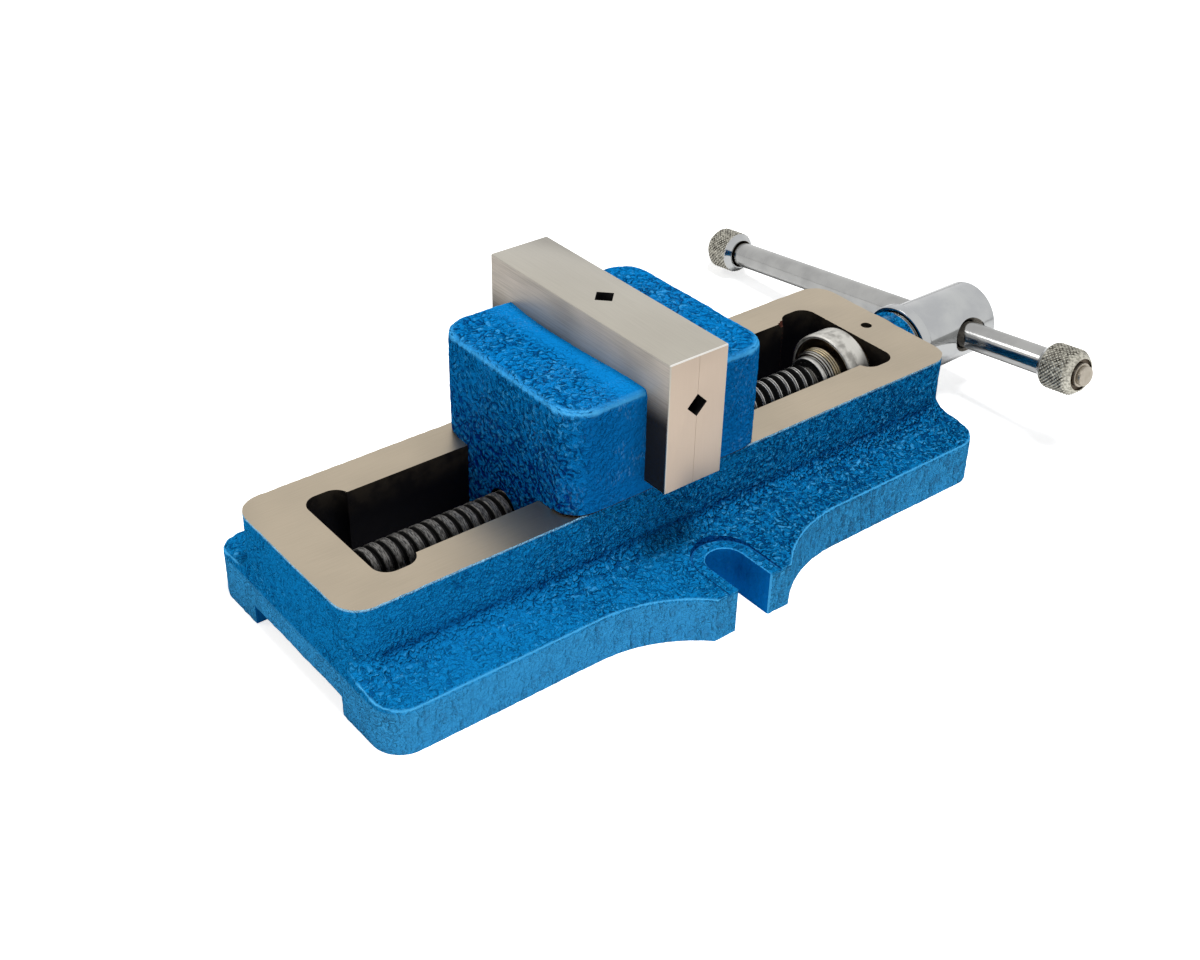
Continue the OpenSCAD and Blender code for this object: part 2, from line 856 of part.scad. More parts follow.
base_casting();
plain_bush();
handle_bush();
inner_washer();
outer_washer();
lead_screw();
jam_nut();
thrust_collar();
hub();
hub_pin();
handle_bar();
near_knob();
far_knob();
jaw_casting(LEFT);  // left_jaw
jaw_plate(LEFT);  // left_plate
plate_screws(LEFT);  // left_plate_screws
jaw_nut(LEFT);  // left_nut
nut_pin(LEFT);  // left_nut_pin
jaw_keeper(LEFT);  // left_keeper
keeper_screws(LEFT);  // left_keeper_screws
jaw_casting(RIGHT);  // right_jaw
jaw_plate(RIGHT);  // right_plate
plate_screws(RIGHT);  // right_plate_screws
jaw_nut(RIGHT);  // right_nut
nut_pin(RIGHT);  // right_nut_pin
jaw_keeper(RIGHT);  // right_keeper
keeper_screws(RIGHT);  // right_keeper_screws
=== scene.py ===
"""Dresses a self-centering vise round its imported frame.

Castings, plates, screw and handle are built as meshes in millimetres, from the boxes of the
frame's nodes and a few named sizes, and are scaled to metres when they are done.
"""

import json
import logging
import math
from collections.abc import Callable, Iterator
from contextlib import contextmanager
from dataclasses import dataclass
from enum import Enum
from typing import ClassVar

import bmesh
import bpy
import numpy as np
from mathutils import Matrix, Vector, noise


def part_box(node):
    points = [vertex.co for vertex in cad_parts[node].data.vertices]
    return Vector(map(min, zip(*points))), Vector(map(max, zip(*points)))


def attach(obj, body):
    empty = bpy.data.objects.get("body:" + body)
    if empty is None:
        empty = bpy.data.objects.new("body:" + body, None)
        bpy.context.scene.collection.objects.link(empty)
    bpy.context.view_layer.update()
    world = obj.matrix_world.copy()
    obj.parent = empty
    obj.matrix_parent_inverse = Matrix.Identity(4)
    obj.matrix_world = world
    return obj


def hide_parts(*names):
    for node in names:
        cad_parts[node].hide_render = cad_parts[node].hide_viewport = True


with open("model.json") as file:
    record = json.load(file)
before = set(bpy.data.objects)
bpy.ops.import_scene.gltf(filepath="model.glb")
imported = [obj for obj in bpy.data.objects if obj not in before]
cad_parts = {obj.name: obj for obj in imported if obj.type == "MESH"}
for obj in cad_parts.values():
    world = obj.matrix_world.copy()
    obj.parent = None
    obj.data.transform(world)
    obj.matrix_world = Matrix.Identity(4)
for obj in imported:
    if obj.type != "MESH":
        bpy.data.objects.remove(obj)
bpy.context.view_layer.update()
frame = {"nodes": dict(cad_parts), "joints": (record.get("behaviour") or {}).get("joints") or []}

MM = 0.001
TOUCH = 1e-4
log = logging.getLogger("vise")

Colour = tuple[float, float, float]
Outline = list[tuple[float, float]]
Piece = bpy.types.Object
Socket = bpy.types.NodeSocket


class Cut(Enum):
    """How one solid is combined with another."""

    TAKE = "DIFFERENCE"
    KEEP = "INTERSECT"
    JOIN = "UNION"


class Side(Enum):
    """The two jaws: the plain end lies at -X and the handle end at +X."""

    LEFT = -1
    RIGHT = 1


# Mesh kit


def mm_box(node: str) -> tuple[Vector, Vector]:
    """Measures a CAD node.

    Args:
        node: Name of the node.

    Returns:
        Its lowest and highest corners, in millimetres.
    """
    low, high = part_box(node)
    return low / MM, high / MM


@contextmanager
def edited(mesh: bpy.types.Mesh) -> Iterator[bmesh.types.BMesh]:
    """Opens a mesh for changes and writes them back.

    Args:
        mesh: The mesh to change.

    Yields:
        Its editable copy.
    """
    bm = bmesh.new()
    bm.from_mesh(mesh)
    yield bm
    bm.to_mesh(mesh)
    bm.free()


def solid(name: str, points: list, faces: list) -> Piece:
    """Makes a closed mesh whose faces look outwards.

    Args:
        name: Name of the new object.
        points: Its corners, in millimetres.
        faces: Its faces, as tuples of point numbers.

    Returns:
        The new object.
    """
    mesh = bpy.data.meshes.new(name)
    mesh.from_pydata(points, [], faces)
    with edited(mesh) as bm:
        bmesh.ops.recalc_face_normals(bm, faces=bm.faces)
    made = bpy.data.objects.new(name, mesh)
    bpy.context.scene.collection.objects.link(made)
    return made


def loft(name: str, rings: list, closed: bool = False) -> Piece:
    """Skins rings of equal length.

    Args:
        name: Name of the new object.
        rings: Lists of points, one list for each ring.
        closed: Joins the last ring to the first, where otherwise both ends are capped.

    Returns:
        The closed solid.
    """
    count = len(rings[0])
    points = [tuple(p) for ring in rings for p in ring]
    faces = []
    for i in range(len(rings) if closed else len(rings) - 1):
        a = i * count
        b = (i + 1) % len(rings) * count
        for j in range(count):
            k = (j + 1) % count
            faces.append((a + j, a + k, b + k, b + j))
    if not closed:
        faces.append(tuple(range(count)))
        faces.append(tuple(range(len(points) - count, len(points))))
    return solid(name, points, faces)


def stacked(name: str, levels: list[tuple[float, Outline]]) -> Piece:
    """Builds an upright solid.

    Args:
        name: Name of the new object.
        levels: Pairs of a height and the outline there, in X and Y.

    Returns:
        The closed solid.
    """
    return loft(name, [[(x, y, z) for x, y in outline] for z, outline in levels])


def prism(name: str, outline: Outline, low: float, high: float) -> Piece:
    """Raises an outline in X and Y from one height to another."""
    return stacked(name, [(low, outline), (high, outline)])


def run_x(name: str, section: Outline, start: float, end: float) -> Piece:
    """Runs a section in Y and Z along X."""
    return loft(name, [[(x, y, z) for y, z in section] for x in (start, end)])


def block(name: str, low: tuple, high: tuple) -> Piece:
    """Makes a box between two corners."""
    outline = [(low[0], low[1]), (high[0], low[1]), (high[0], high[1]), (low[0], high[1])]
    return prism(name, outline, low[2], high[2])


def arc(cx: float, cy: float, r: float, start: float, end: float, steps: int = 12) -> Outline:
    """Lists points on an arc.

    Args:
        cx: First coordinate of the centre.
        cy: Second coordinate of the centre.
        r: Radius.
        start: Angle of the first point, in degrees.
        end: Angle of the last point, in degrees.
        steps: Number of chords.

    Returns:
        The points, both ends included.
    """
    angles = [math.radians(start + (end - start) * i / steps) for i in range(steps + 1)]
    return [(cx + r * math.cos(a), cy + r * math.sin(a)) for a in angles]


def eased(profile: Outline, ease: float, closed: bool = False, steps: int = 3) -> Outline:
    """Rounds the corners of a profile.

    Args:
        profile: Points along the profile.
        ease: Distance from a corner at which its rounding starts.
        closed: The profile is a loop, so its first and last corners are rounded too.
        steps: Number of chords in a rounded corner.

    Returns:
        The rounded profile.
    """
    out = []
    count = len(profile)
    for i, here in enumerate(profile):
        if not closed and i in (0, count - 1):
            out.append(here)
            continue
        p = Vector(here)
        before = Vector(profile[i - 1]) - p
        after = Vector(profile[(i + 1) % count]) - p
        a = p + before.normalized() * min(ease, before.length * 0.45)
        b = p + after.normalized() * min(ease, after.length * 0.45)
        for k in range(steps + 1):
            t = k / steps
            out.append(tuple(a * (1 - t) ** 2 + p * 2 * t * (1 - t) + b * t * t))
    return out


def lathe(name: str, profile: Outline, axis: Matrix, closed: bool = False, segments: int = 128) -> Piece:
    """Turns a profile about an axis.

    Args:
        name: Name of the new object.
        profile: Pairs of a station along the axis and a radius.
        axis: Matrix whose third column is the axis.
        closed: The profile is a loop, so the piece is a ring.
        segments: Number of segments round the axis.

    Returns:
        The turned solid.
    """
    turns = [2 * math.pi * j / segments for j in range(segments)]
    rings = [
        [axis @ Vector((r * math.cos(a), r * math.sin(a), s)) for a in turns]
        for s, r in profile
    ]
    return loft(name, rings, closed)


def rod(name: str, start: float, end: float, r: float, axis: Matrix, segments: int = 96) -> Piece:
    """Makes a plain cylinder between two stations along an axis."""
    return lathe(name, [(start, r), (end, r)], axis, False, segments)


def bevelled(piece: Piece, width: float, steps: int, chosen: Callable[[bmesh.types.BMEdge], bool]) -> Piece:
    """Bevels some edges of a piece.

    Args:
        piece: The piece to change.
        width: Width of the bevel.
        steps: Number of flats across it.
        chosen: Test that picks the edges.

    Returns:
        The piece.
    """
    with edited(piece.data) as bm:
        picked = [edge for edge in bm.edges if chosen(edge)]
        bmesh.ops.bevel(bm, geom=picked, offset=width, segments=steps, profile=0.5, affect="EDGES")
    return piece


def settle(piece: Piece) -> None:
    """Turns a piece's modifiers into its mesh.

    Args:
        piece: The piece to change.
    """
    graph = bpy.context.evaluated_depsgraph_get()
    mesh = bpy.data.meshes.new_from_object(piece.evaluated_get(graph))
    old = piece.data
    piece.modifiers.clear()
    piece.data = mesh
    bpy.data.meshes.remove(old)


def combine(piece: Piece, tool: Piece, cut: Cut) -> Piece:
    """Combines a piece with a tool, which is used up.

    Args:
        piece: The piece to change.
        tool: The other solid.
        cut: Whether the tool is taken away, kept in common or joined on.

    Returns:
        The changed piece.
    """
    change = piece.modifiers.new("cut", "BOOLEAN")
    change.object = tool
    change.operation = cut.value
    change.solver = "EXACT"
    change.material_mode = "TRANSFER"
    settle(piece)
    used = tool.data
    bpy.data.objects.remove(tool)
    bpy.data.meshes.remove(used)
    return piece


def joined(*solids: Piece) -> Piece:
    """Joins solids into the first of them.

    Args:
        solids: The solids, all but the first of which are used up.

    Returns:
        The first solid.
    """
    for other in solids[1:]:
        combine(solids[0], other, Cut.JOIN)
    return solids[0]


def faced(piece: Piece, material: bpy.types.Material) -> Piece:
    """Gives a piece one material.

    Args:
        piece: The piece to change.
        material: The only material that it has then.

    Returns:
        The piece.
    """
    piece.data.materials.clear()
    piece.data.materials.append(material)
    return piece


def faced_where(piece: Piece, material: bpy.types.Material, inside: Callable[[Vector], bool]) -> Piece:
    """Gives another material to some of a piece's faces.

    Args:
        piece: The piece, which has a material already.
        material: The other material.
        inside: Test of a face's middle, in millimetres.

    Returns:
        The piece.
    """
    place = len(piece.data.materials)
    piece.data.materials.append(material)
    for face in piece.data.polygons:
        if inside(face.center):
            face.material_index = place
    return piece


def mirrored_x(piece: Piece) -> Piece:
    """Mirrors a piece across the plane where the jaws meet.

    Args:
        piece: The piece to change.

    Returns:
        The piece.
    """
    piece.data.transform(Matrix.Scale(-1, 4, Vector((1, 0, 0))))
    piece.data.flip_normals()
    return piece


def hand_in(piece: Piece, body: str, slot: str, *nodes: str, sharp: float = 35.0) -> Piece:
    """Scales a finished piece to metres, shades it and lets it ride.

    Args:
        piece: The finished piece, in millimetres.
        body: Body that carries it.
        slot: Material slot of the record; not used.
        nodes: CAD nodes that it stands for.
        sharp: Edges that bend by more degrees than this stay crisp.

    Returns:
        The piece.
    """
    mesh = piece.data
    mesh.transform(Matrix.Scale(MM, 4))
    mesh.shade_smooth()
    mesh.set_sharp_from_angle(angle=math.radians(sharp))
    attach(piece, body)
    if nodes:
        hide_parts(*nodes)
    log.info("%s rides on %s with %d faces", piece.name, body, len(mesh.polygons))
    return piece


# Finishes


class Graph:
    """Builds the node tree of one material."""

    def __init__(self, name: str) -> None:
        """Starts an empty tree.

        Args:
            name: Name of the material.
        """
        self.material = bpy.data.materials.new(name)
        self.material.use_nodes = True
        self.tree = self.material.node_tree
        self.tree.nodes.clear()
        self.place = self.add("ShaderNodeTexCoord").outputs["Object"]

    def add(self, kind: str, **settings: object) -> bpy.types.Node:
        """Adds a node and sets its properties.

        Args:
            kind: Kind of node.
            settings: Its properties.

        Returns:
            The new node.
        """
        made = self.tree.nodes.new(kind)
        for key, value in settings.items():
            setattr(made, key, value)
        return made

    def feed(self, socket: Socket, value: object) -> None:
        """Links a socket to another, or sets its value.

        Args:
            socket: The socket to feed.
            value: Another socket, or a value.
        """
        if isinstance(value, bpy.types.NodeSocket):
            self.tree.links.new(value, socket)
        elif isinstance(value, tuple) and len(value) == 3 and socket.type == "RGBA":
            socket.default_value = (*value, 1.0)
        else:
            socket.default_value = value

    def stretched(self, stretch: tuple | None) -> Socket:
        """Gives the place, squeezed along the axes so that a texture is stretched along them.

        Args:
            stretch: How far along each axis, or None for not at all.

        Returns:
            The squeezed place.
        """
        if stretch is None:
            return self.place
        node = self.add("ShaderNodeVectorMath", operation="DIVIDE")
        self.feed(node.inputs[0], self.place)
        node.inputs[1].default_value = stretch
        return node.outputs[0]

    def grain(self, size: float, detail: float = 2.0, stretch: tuple | None = None) -> Socket:
        """Adds a noise.

        Args:
            size: Size of the noise in millimetres.
            detail: How much finer noise is added to it.
            stretch: How far it is stretched along each axis.

        Returns:
            The noise, from 0 to 1.
        """
        node = self.add("ShaderNodeTexNoise")
        node.inputs["Scale"].default_value = 1 / (size * MM)
        node.inputs["Detail"].default_value = detail
        self.feed(node.inputs["Vector"], self.stretched(stretch))
        return node.outputs["Fac"]

    def dots(self, apart: float) -> Socket:
        """Adds scattered points.

        Args:
            apart: Distance between the points in millimetres.

        Returns:
            0 on a point, and more round it.
        """
        node = self.add("ShaderNodeTexVoronoi", feature="SMOOTH_F1")
        node.inputs["Scale"].default_value = 1 / (apart * MM)
        node.inputs["Smoothness"].default_value = 0.0
        self.feed(node.inputs["Vector"], self.place)
        return node.outputs["Distance"]

    def billow(self, size: float) -> Socket:
        """Adds lumps of a given size in millimetres, between curling creases where it is 0."""
        return self.unsigned(self.sums("SUBTRACT", self.grain(size, 1.0), 0.5))

    def part(self, axis: str) -> Socket:
        """Gives one coordinate of the place.

        Args:
            axis: Letter of the axis.

        Returns:
            The coordinate, in metres.
        """
        node = self.add("ShaderNodeSeparateXYZ")
        self.feed(node.inputs[0], self.place)
        return node.outputs[axis]

    def stored(self, name: str) -> Socket:
        """Gives a number that is stored with the mesh's points."""
        return self.add("ShaderNodeAttribute", attribute_name=name).outputs["Fac"]

    def sums(self, operation: str, a: object, b: object) -> Socket:
        """Adds a calculation with two numbers.

        Args:
            operation: Name of the calculation.
            a: First number or socket.
            b: Second number or socket.

        Returns:
            The result.
        """
        node = self.add("ShaderNodeMath", operation=operation)
        self.feed(node.inputs[0], a)
        self.feed(node.inputs[1], b)
        return node.outputs[0]

    def times(self, a: object, b: object) -> Socket:
        """Multiplies two numbers."""
        return self.sums("MULTIPLY", a, b)

    def plus(self, a: object, b: object) -> Socket:
        """Adds two numbers."""
        return self.sums("ADD", a, b)

    def unsigned(self, value: object) -> Socket:
        """Drops a number's sign."""
        return self.sums("ABSOLUTE", value, 0.0)

    def spread(
        self, value: object, low: float, high: float, to_low: float = 0.0, to_high: float = 1.0,
    ) -> Socket:
        """Maps a number smoothly from one range to another.

        Args:
            value: Number or socket to map.
            low: Start of its range.
            high: End of its range.
            to_low: Result at the start.
            to_high: Result at the end.

        Returns:
            The result.
        """
        node = self.add("ShaderNodeMapRange", interpolation_type="SMOOTHSTEP")
        for key, item in zip(("Value", "From Min", "From Max", "To Min", "To Max"),
                             (value, low, high, to_low, to_high)):
            self.feed(node.inputs[key], item)
        return node.outputs["Result"]

    def ramp(self, axis: str, start: float, end: float, first: float = 0.0, last: float = 1.0) -> Socket:
        """Maps one coordinate smoothly between two stations in millimetres."""
        return self.spread(self.part(axis), start * MM, end * MM, first, last)

    def ramp_out(self, axis: str, start: float, end: float, first: float = 0.0, last: float = 1.0) -> Socket:
        """Maps the distance from a middle plane in the same way, on both its sides."""
        return self.spread(self.unsigned(self.part(axis)), start * MM, end * MM, first, last)

    def blend(self, share: object, a: object, b: object) -> Socket:
        """Mixes two numbers.

        Args:
            share: Share of the second, from 0 to 1.
            a: The first.
            b: The second.

        Returns:
            The mixed number.
        """
        node = self.add("ShaderNodeMix", data_type="FLOAT")
        self.feed(node.inputs[0], share)
        self.feed(node.inputs[2], a)
        self.feed(node.inputs[3], b)
        return node.outputs[0]

    def mix(self, share: object, a: object, b: object) -> Socket:
        """Mixes two colours.

        Args:
            share: Share of the second, from 0 to 1.
            a: The first.
            b: The second.

        Returns:
            The mixed colour.
        """
        node = self.add("ShaderNodeMix", data_type="RGBA")
        self.feed(node.inputs[0], share)
        self.feed(node.inputs[6], a)
        self.feed(node.inputs[7], b)
        return node.outputs[2]

    def bump(self, height: object, depth: float) -> Socket:
        """Adds relief.

        Args:
            height: Height of the relief.
            depth: What a height of 1 is in millimetres.

        Returns:
            The normal of the relief.
        """
        node = self.add("ShaderNodeBump")
        node.inputs["Strength"].default_value = 1.0
        node.inputs["Distance"].default_value = depth * MM
        self.feed(node.inputs["Height"], height)
        return node.outputs["Normal"]

    def distance(self, place: Socket) -> Socket:
        """Gives the length of a vector.

        Args:
            place: The vector.

        Returns:
            Its length.
        """
        node = self.add("ShaderNodeVectorMath", operation="LENGTH")
        self.feed(node.inputs[0], place)
        return node.outputs["Value"]

    def axis_distance(self, height: float) -> Socket:
        """Gives the distance from the screw's axis.

        Args:
            height: Height of the axis in millimetres.

        Returns:
            The distance, in metres.
        """
        parts = self.add("ShaderNodeSeparateXYZ")
        self.feed(parts.inputs[0], self.place)
        flat = self.add("ShaderNodeCombineXYZ")
        self.feed(flat.inputs[1], parts.outputs[1])
        self.feed(flat.inputs[2], self.sums("SUBTRACT", parts.outputs[2], height * MM))
        return self.distance(flat.outputs[0])

    def finish(self, **inputs: object) -> bpy.types.Material:
        """Adds the surface shader.

        Args:
            inputs: Values or sockets for its inputs, with underscores for spaces.

        Returns:
            The material.
        """
        surface = self.add("ShaderNodeBsdfPrincipled")
        for key, value in inputs.items():
            self.feed(surface.inputs[key.replace("_", " ")], value)
        output = self.add("ShaderNodeOutputMaterial")
        self.tree.links.new(surface.outputs[0], output.inputs["Surface"])
        return self.material


@dataclass(frozen=True)
class HammeredEnamel:
    """Blue enamel over a wrinkled casting: painted shade makes it dark in creases and hollows, and painted
    highlights make it lighter on lumps and edges.
    """

    name: str
    relief: float = 1.0
    edge_light: float = 0.75
    # Colours: the first is painted shade low on the jaws' ends, the second painted shade in creases, hollows
    # and on the jaw's near face, then the paint's own mid blue, the painted highlight and bounce light, and
    # the lip's painted highlight, which the scuffs share.
    end_shade_tone: Colour = (0.0005, 0.012, 0.160)
    shade_tone: Colour = (0.0006, 0.024, 0.130)
    mid: Colour = (0.0040, 0.178, 0.452)
    light: Colour = (0.085, 0.420, 0.730)
    rim: Colour = (0.300, 0.620, 0.850)
    depth: float = 2.2
    dark_share: float = 0.75
    light_share: float = 0.34
    lump: float = 1.9
    curl: float = 2.1
    grit: float = 0.8
    run: float = 2.4
    run_top: float = 16.5
    run_fade: float = 1.5
    low_bounce_light: float = 0.36
    drip_from: float | None = None
    drip_fade: float = 4.0
    highlight_from: float = 0.05
    highlight_to: float = 0.16
    hollow_shade: float = 0.6
    scuff: float = 0.0
    # Height of the ground top, under which the lip's painted highlight runs, or None.
    lip: float | None = None
    lip_share: float = 0.85
    near_y: float | None = None
    near_fade: float = 6.0
    near_shade: float = 0.52
    middle_x: float | None = None
    middle_fade: float = 11.0
    end_shade_x: float | None = None
    end_shade_fade: float = 5.0
    end_shade_low: float = 46.0
    end_shade_top: float = 86.0
    end_shade_share: float = 0.9
    soft_x: tuple[float, float] | None = None

    def near_face(self, g: Graph, on_face: float, behind: float) -> Socket:
        """Blends from one value on the near face to another behind it."""
        return g.ramp("Y", self.near_y, self.near_y + self.near_fade, on_face, behind)

    def wrinkles(self, g: Graph, drips: Socket) -> Socket:
        """Builds the relief, about zero: lumps between broken creases, and runs down the lowest edges.

        Args:
            g: Tree of the material.
            drips: Share of the runs, 1 on the lowest edges.

        Returns:
            The height, from about -0.7 to 0.4.
        """
        broken = g.spread(g.grain(5.0, 2.0), 0.36, 0.60, 0.55, 1.0)
        crease = g.spread(g.billow(self.curl), 0.0, 0.13, -0.45, 0.15)
        swell = g.spread(g.grain(self.lump, 1.0), 0.32, 0.68, -0.25, 0.25)
        fine = g.spread(g.grain(self.grit, 1.0), 0.28, 0.72, -0.08, 0.08)
        curls = g.plus(g.plus(g.times(crease, broken), swell), fine)
        runs = g.spread(g.grain(self.run, 1.0, (1.0, 1.0, 2.2)), 0.30, 0.60, -0.40, 0.18)
        field = g.blend(drips, curls, g.plus(runs, g.times(curls, 0.45)))
        calm = g.spread(g.grain(28.0, 1.0), 0.38, 0.60, 0.75, 1.0)
        if self.soft_x is not None:
            calm = g.times(calm, g.ramp("X", *self.soft_x, 0.72, 1.3))
        if self.near_y is not None:
            calm = g.times(calm, self.near_face(g, 0.35, 1.0))
        if self.middle_x is not None:
            calm = g.times(calm, g.ramp_out("X", self.middle_x, self.middle_x + self.middle_fade, 0.3, 1.0))
        return g.times(field, calm)

    def raised_share(self, g: Graph) -> Socket:
        """Builds the share of painted highlight on the casting's edges and ridges."""
        return g.spread(g.stored(CastSkin.painted_light), self.highlight_from, self.highlight_to, 0.0, self.edge_light)

    def end_shade(self, g: Graph, height: Socket) -> Socket:
        """Builds the share of painted shade low on the jaws' outer ends, thickest in the creases.

        Args:
            g: Tree of the material.
            height: The relief.

        Returns:
            The share, from 0 to 1.
        """
        end = g.ramp_out("X", self.end_shade_x - self.end_shade_fade, self.end_shade_x)
        down = g.ramp("Z", self.end_shade_low, self.end_shade_top, self.end_shade_share, 0.0)
        pits = g.spread(height, -0.40, 0.10, 1.0, 0.25)
        return g.times(g.times(end, down), pits)

    def scuffs(self, g: Graph) -> Socket:
        """Builds the share of pale upright scuffs in rubbed patches."""
        hairs = g.spread(g.grain(0.6, 2.0, (1.0, 1.0, 3.0)), 0.56, 0.66, 0.0, self.scuff)
        return g.times(hairs, g.spread(g.grain(16.0, 1.0), 0.50, 0.62))

    def make(self) -> bpy.types.Material:
        """Builds the material.

        Returns:
            The material.
        """
        g = Graph(self.name)
        low = g.ramp("Z", self.run_top, self.run_top + self.run_fade, 1.0, 0.0)
        drips = low
        if self.drip_from is not None:
            drips = g.times(low, g.ramp("X", self.drip_from, self.drip_from + self.drip_fade))
        height = self.wrinkles(g, drips)
        raised_share = self.raised_share(g) if self.edge_light else None
        if raised_share is not None:
            height = g.times(height, g.spread(raised_share, 0.0, 0.4, 1.0, 0.12))
        # Painted shade in the creases and painted highlights on the lumps.
        dark = g.spread(height, -0.60, -0.08, self.dark_share * self.relief, 0.0)
        pale = g.spread(height, 0.12, 0.42, 0.0, self.light_share * self.relief)
        colour = g.mix(pale, g.mix(dark, self.mid, self.shade_tone), self.light)
        # Painted bounce light from the floor: lighter low on the casting.
        colour = g.mix(g.times(low, self.low_bounce_light), colour, self.light)
        # Painted shade low on the jaws' outer ends.
        if self.end_shade_x is not None:
            colour = g.mix(self.end_shade(g, height), colour, self.end_shade_tone)
        if self.near_y is not None:
            colour = g.mix(self.near_face(g, self.near_shade, 0.0), colour, self.shade_tone)
        if raised_share is not None:
            # Painted shade in hollows such as the fillets.
            hollow = g.spread(g.stored(CastSkin.painted_light), -0.034, -0.012, self.hollow_shade, 0.0)
            colour = g.mix(hollow, colour, self.shade_tone)
            # Painted highlight on the casting's raised edges and ridges.
            colour = g.mix(raised_share, colour, self.light)
        # Painted highlight along the top edge of the painted sides, under the ground top.
        if self.lip is not None:
            lip_highlight = g.ramp("Z", self.lip - 1.1, self.lip - 0.45, 0.0, self.lip_share)
            colour = g.mix(lip_highlight, colour, self.rim)
        if self.scuff:
            colour = g.mix(self.scuffs(g), colour, self.rim)
        rough = g.spread(g.grain(5.0, 2.0), 0.3, 0.7, 0.28, 0.42)
        return g.finish(
            Base_Color=colour, Roughness=rough, Normal=g.bump(height, self.depth * self.relief),
            Metallic=0.08, Specular_IOR_Level=0.0, Specular_Tint=(0.25, 0.65, 1.0),
        )


@dataclass(frozen=True)
class GroundSteel:
    """Warm grey steel with the fine lay that a grinding wheel leaves."""

    name: str
    lay: tuple[float, float, float]
    tone: Colour = (0.500, 0.425, 0.322)
    shade: Colour = (0.440, 0.375, 0.285)
    streak: float = 0.06
    scratch: float = 0.0015
    metal: float = 1.0
    rough: float = 0.29
    # Height below which painted shade darkens the steel, or None.
    shaded_below: float | None = None
    dark_line: Colour = (0.08, 0.075, 0.068)
    speck: Colour = (0.10, 0.085, 0.07)
    oil: Colour = (0.006, 0.007, 0.010)

    def make(self) -> bpy.types.Material:
        """Builds the material.

        Returns:
            The material.
        """
        g = Graph(self.name)
        lines = g.grain(0.35, 3.0, self.lay)
        cloud = g.grain(45.0, 2.0)
        colour = g.mix(g.spread(cloud, 0.35, 0.65), self.shade, self.tone)
        colour = g.mix(g.spread(lines, 0.35, 0.70, 0.0, self.streak), colour, self.dark_line)
        colour = g.mix(g.spread(g.dots(14.0), 0.0, 0.02, 0.5, 0.0), colour, self.speck)
        if self.shaded_below is not None:
            # Painted shade on the plate's back, darker below the jaw's top.
            lower_shade = g.ramp("Z", self.shaded_below - 11.0, self.shaded_below + 4.0, 0.97, 0.0)
            colour = g.mix(lower_shade, colour, self.oil)
        rough = g.spread(lines, 0.3, 0.7, self.rough, self.rough + self.streak / 2)
        return g.finish(
            Base_Color=colour, Metallic=self.metal, Roughness=rough, Normal=g.bump(lines, self.scratch),
            Specular_IOR_Level=0.1,
        )


@dataclass(frozen=True)
class MilledIron:
    """Milled iron in painted shade: brown blotches below the ground top, turning near black further down."""

    name: str
    top: float
    fade: float = 13.0
    shade_tone: Colour = (0.0030, 0.0030, 0.0045)
    brown: Colour = (0.026, 0.021, 0.016)

    def make(self) -> bpy.types.Material:
        """Builds the material.

        Returns:
            The material.
        """
        g = Graph(self.name)
        lines = g.grain(0.8, 2.0, (1.0, 1.0, 12.0))
        cloud = g.spread(g.grain(7.0, 3.0), 0.35, 0.65, 0.25, 1.0)
        # Painted shade: darker further down.
        near_top = g.ramp("Z", self.top - self.fade, self.top)
        colour = g.mix(g.times(cloud, near_top), self.shade_tone, self.brown)
        return g.finish(
            Base_Color=colour, Roughness=g.spread(lines, 0.3, 0.7, 0.34, 0.46), Normal=g.bump(lines, 0.010),
            Specular_IOR_Level=0.05,
        )


@dataclass(frozen=True)
class ThreadSteel:
    """Screw thread or rings: oily roots, painted highlights on the corners and duller crests."""

    name: str
    axis_z: float
    crest_r: float
    # corner is the painted highlight on the crests' corners.
    corner: Colour
    crest: Colour
    band: float = 0.45
    rough: float = 0.42
    streak: float = 0.25
    dark_line: Colour = (0.03, 0.029, 0.027)
    oil: Colour = (0.006, 0.006, 0.006)

    def make(self) -> bpy.types.Material:
        """Builds the material.

        Returns:
            The material.
        """
        g = Graph(self.name)
        r = g.axis_distance(self.axis_z)
        raised_share = g.spread(r, (self.crest_r - self.band) * MM, (self.crest_r - 0.75 * self.band) * MM)
        top = g.spread(r, (self.crest_r - 0.5 * self.band) * MM, (self.crest_r - 0.1 * self.band) * MM)
        scratches = g.grain(0.35, 2.0, (1.0, 5.0, 5.0))
        painted_light = g.spread(g.grain(2.0, 3.0), 0.3, 0.7, 0.7, 1.0)
        # Painted highlight on the crests' corners.
        bright = g.mix(g.times(top, painted_light), self.crest, self.corner)
        bright = g.mix(g.spread(scratches, 0.35, 0.65, 0.0, self.streak), bright, self.dark_line)
        flecks = g.spread(g.grain(0.7, 2.0), 0.66, 0.74, 0.0, 0.4)
        shown = g.sums("MAXIMUM", raised_share, flecks)
        return g.finish(
            Base_Color=g.mix(shown, self.oil, bright),
            Metallic=g.spread(shown, 0.0, 1.0, 0.2, 1.0),
            Roughness=g.spread(shown, 0.0, 1.0, 0.5, self.rough),
            Normal=g.bump(scratches, 0.015), Specular_IOR_Level=0.08,
        )


@dataclass(frozen=True)
class TurnedMetal:
    """Metal fresh from the lathe, with fine rings along the screw's axis and some stain."""

    name: str
    tone: Colour
    stain: Colour
    stain_share: float = 0.5
    rough: float = 0.24

    def make(self) -> bpy.types.Material:
        """Builds the material.

        Returns:
            The material.
        """
        g = Graph(self.name)
        rings = g.grain(0.28, 1.0, (1.0, 60.0, 60.0))
        patch = g.spread(g.grain(5.0, 3.0), 0.45, 0.7, 0.0, self.stain_share)
        return g.finish(
            Base_Color=g.mix(patch, self.tone, self.stain), Metallic=1.0,
            Roughness=g.spread(rings, 0.3, 0.7, self.rough, self.rough + 0.14), Normal=g.bump(rings, 0.012),
        )


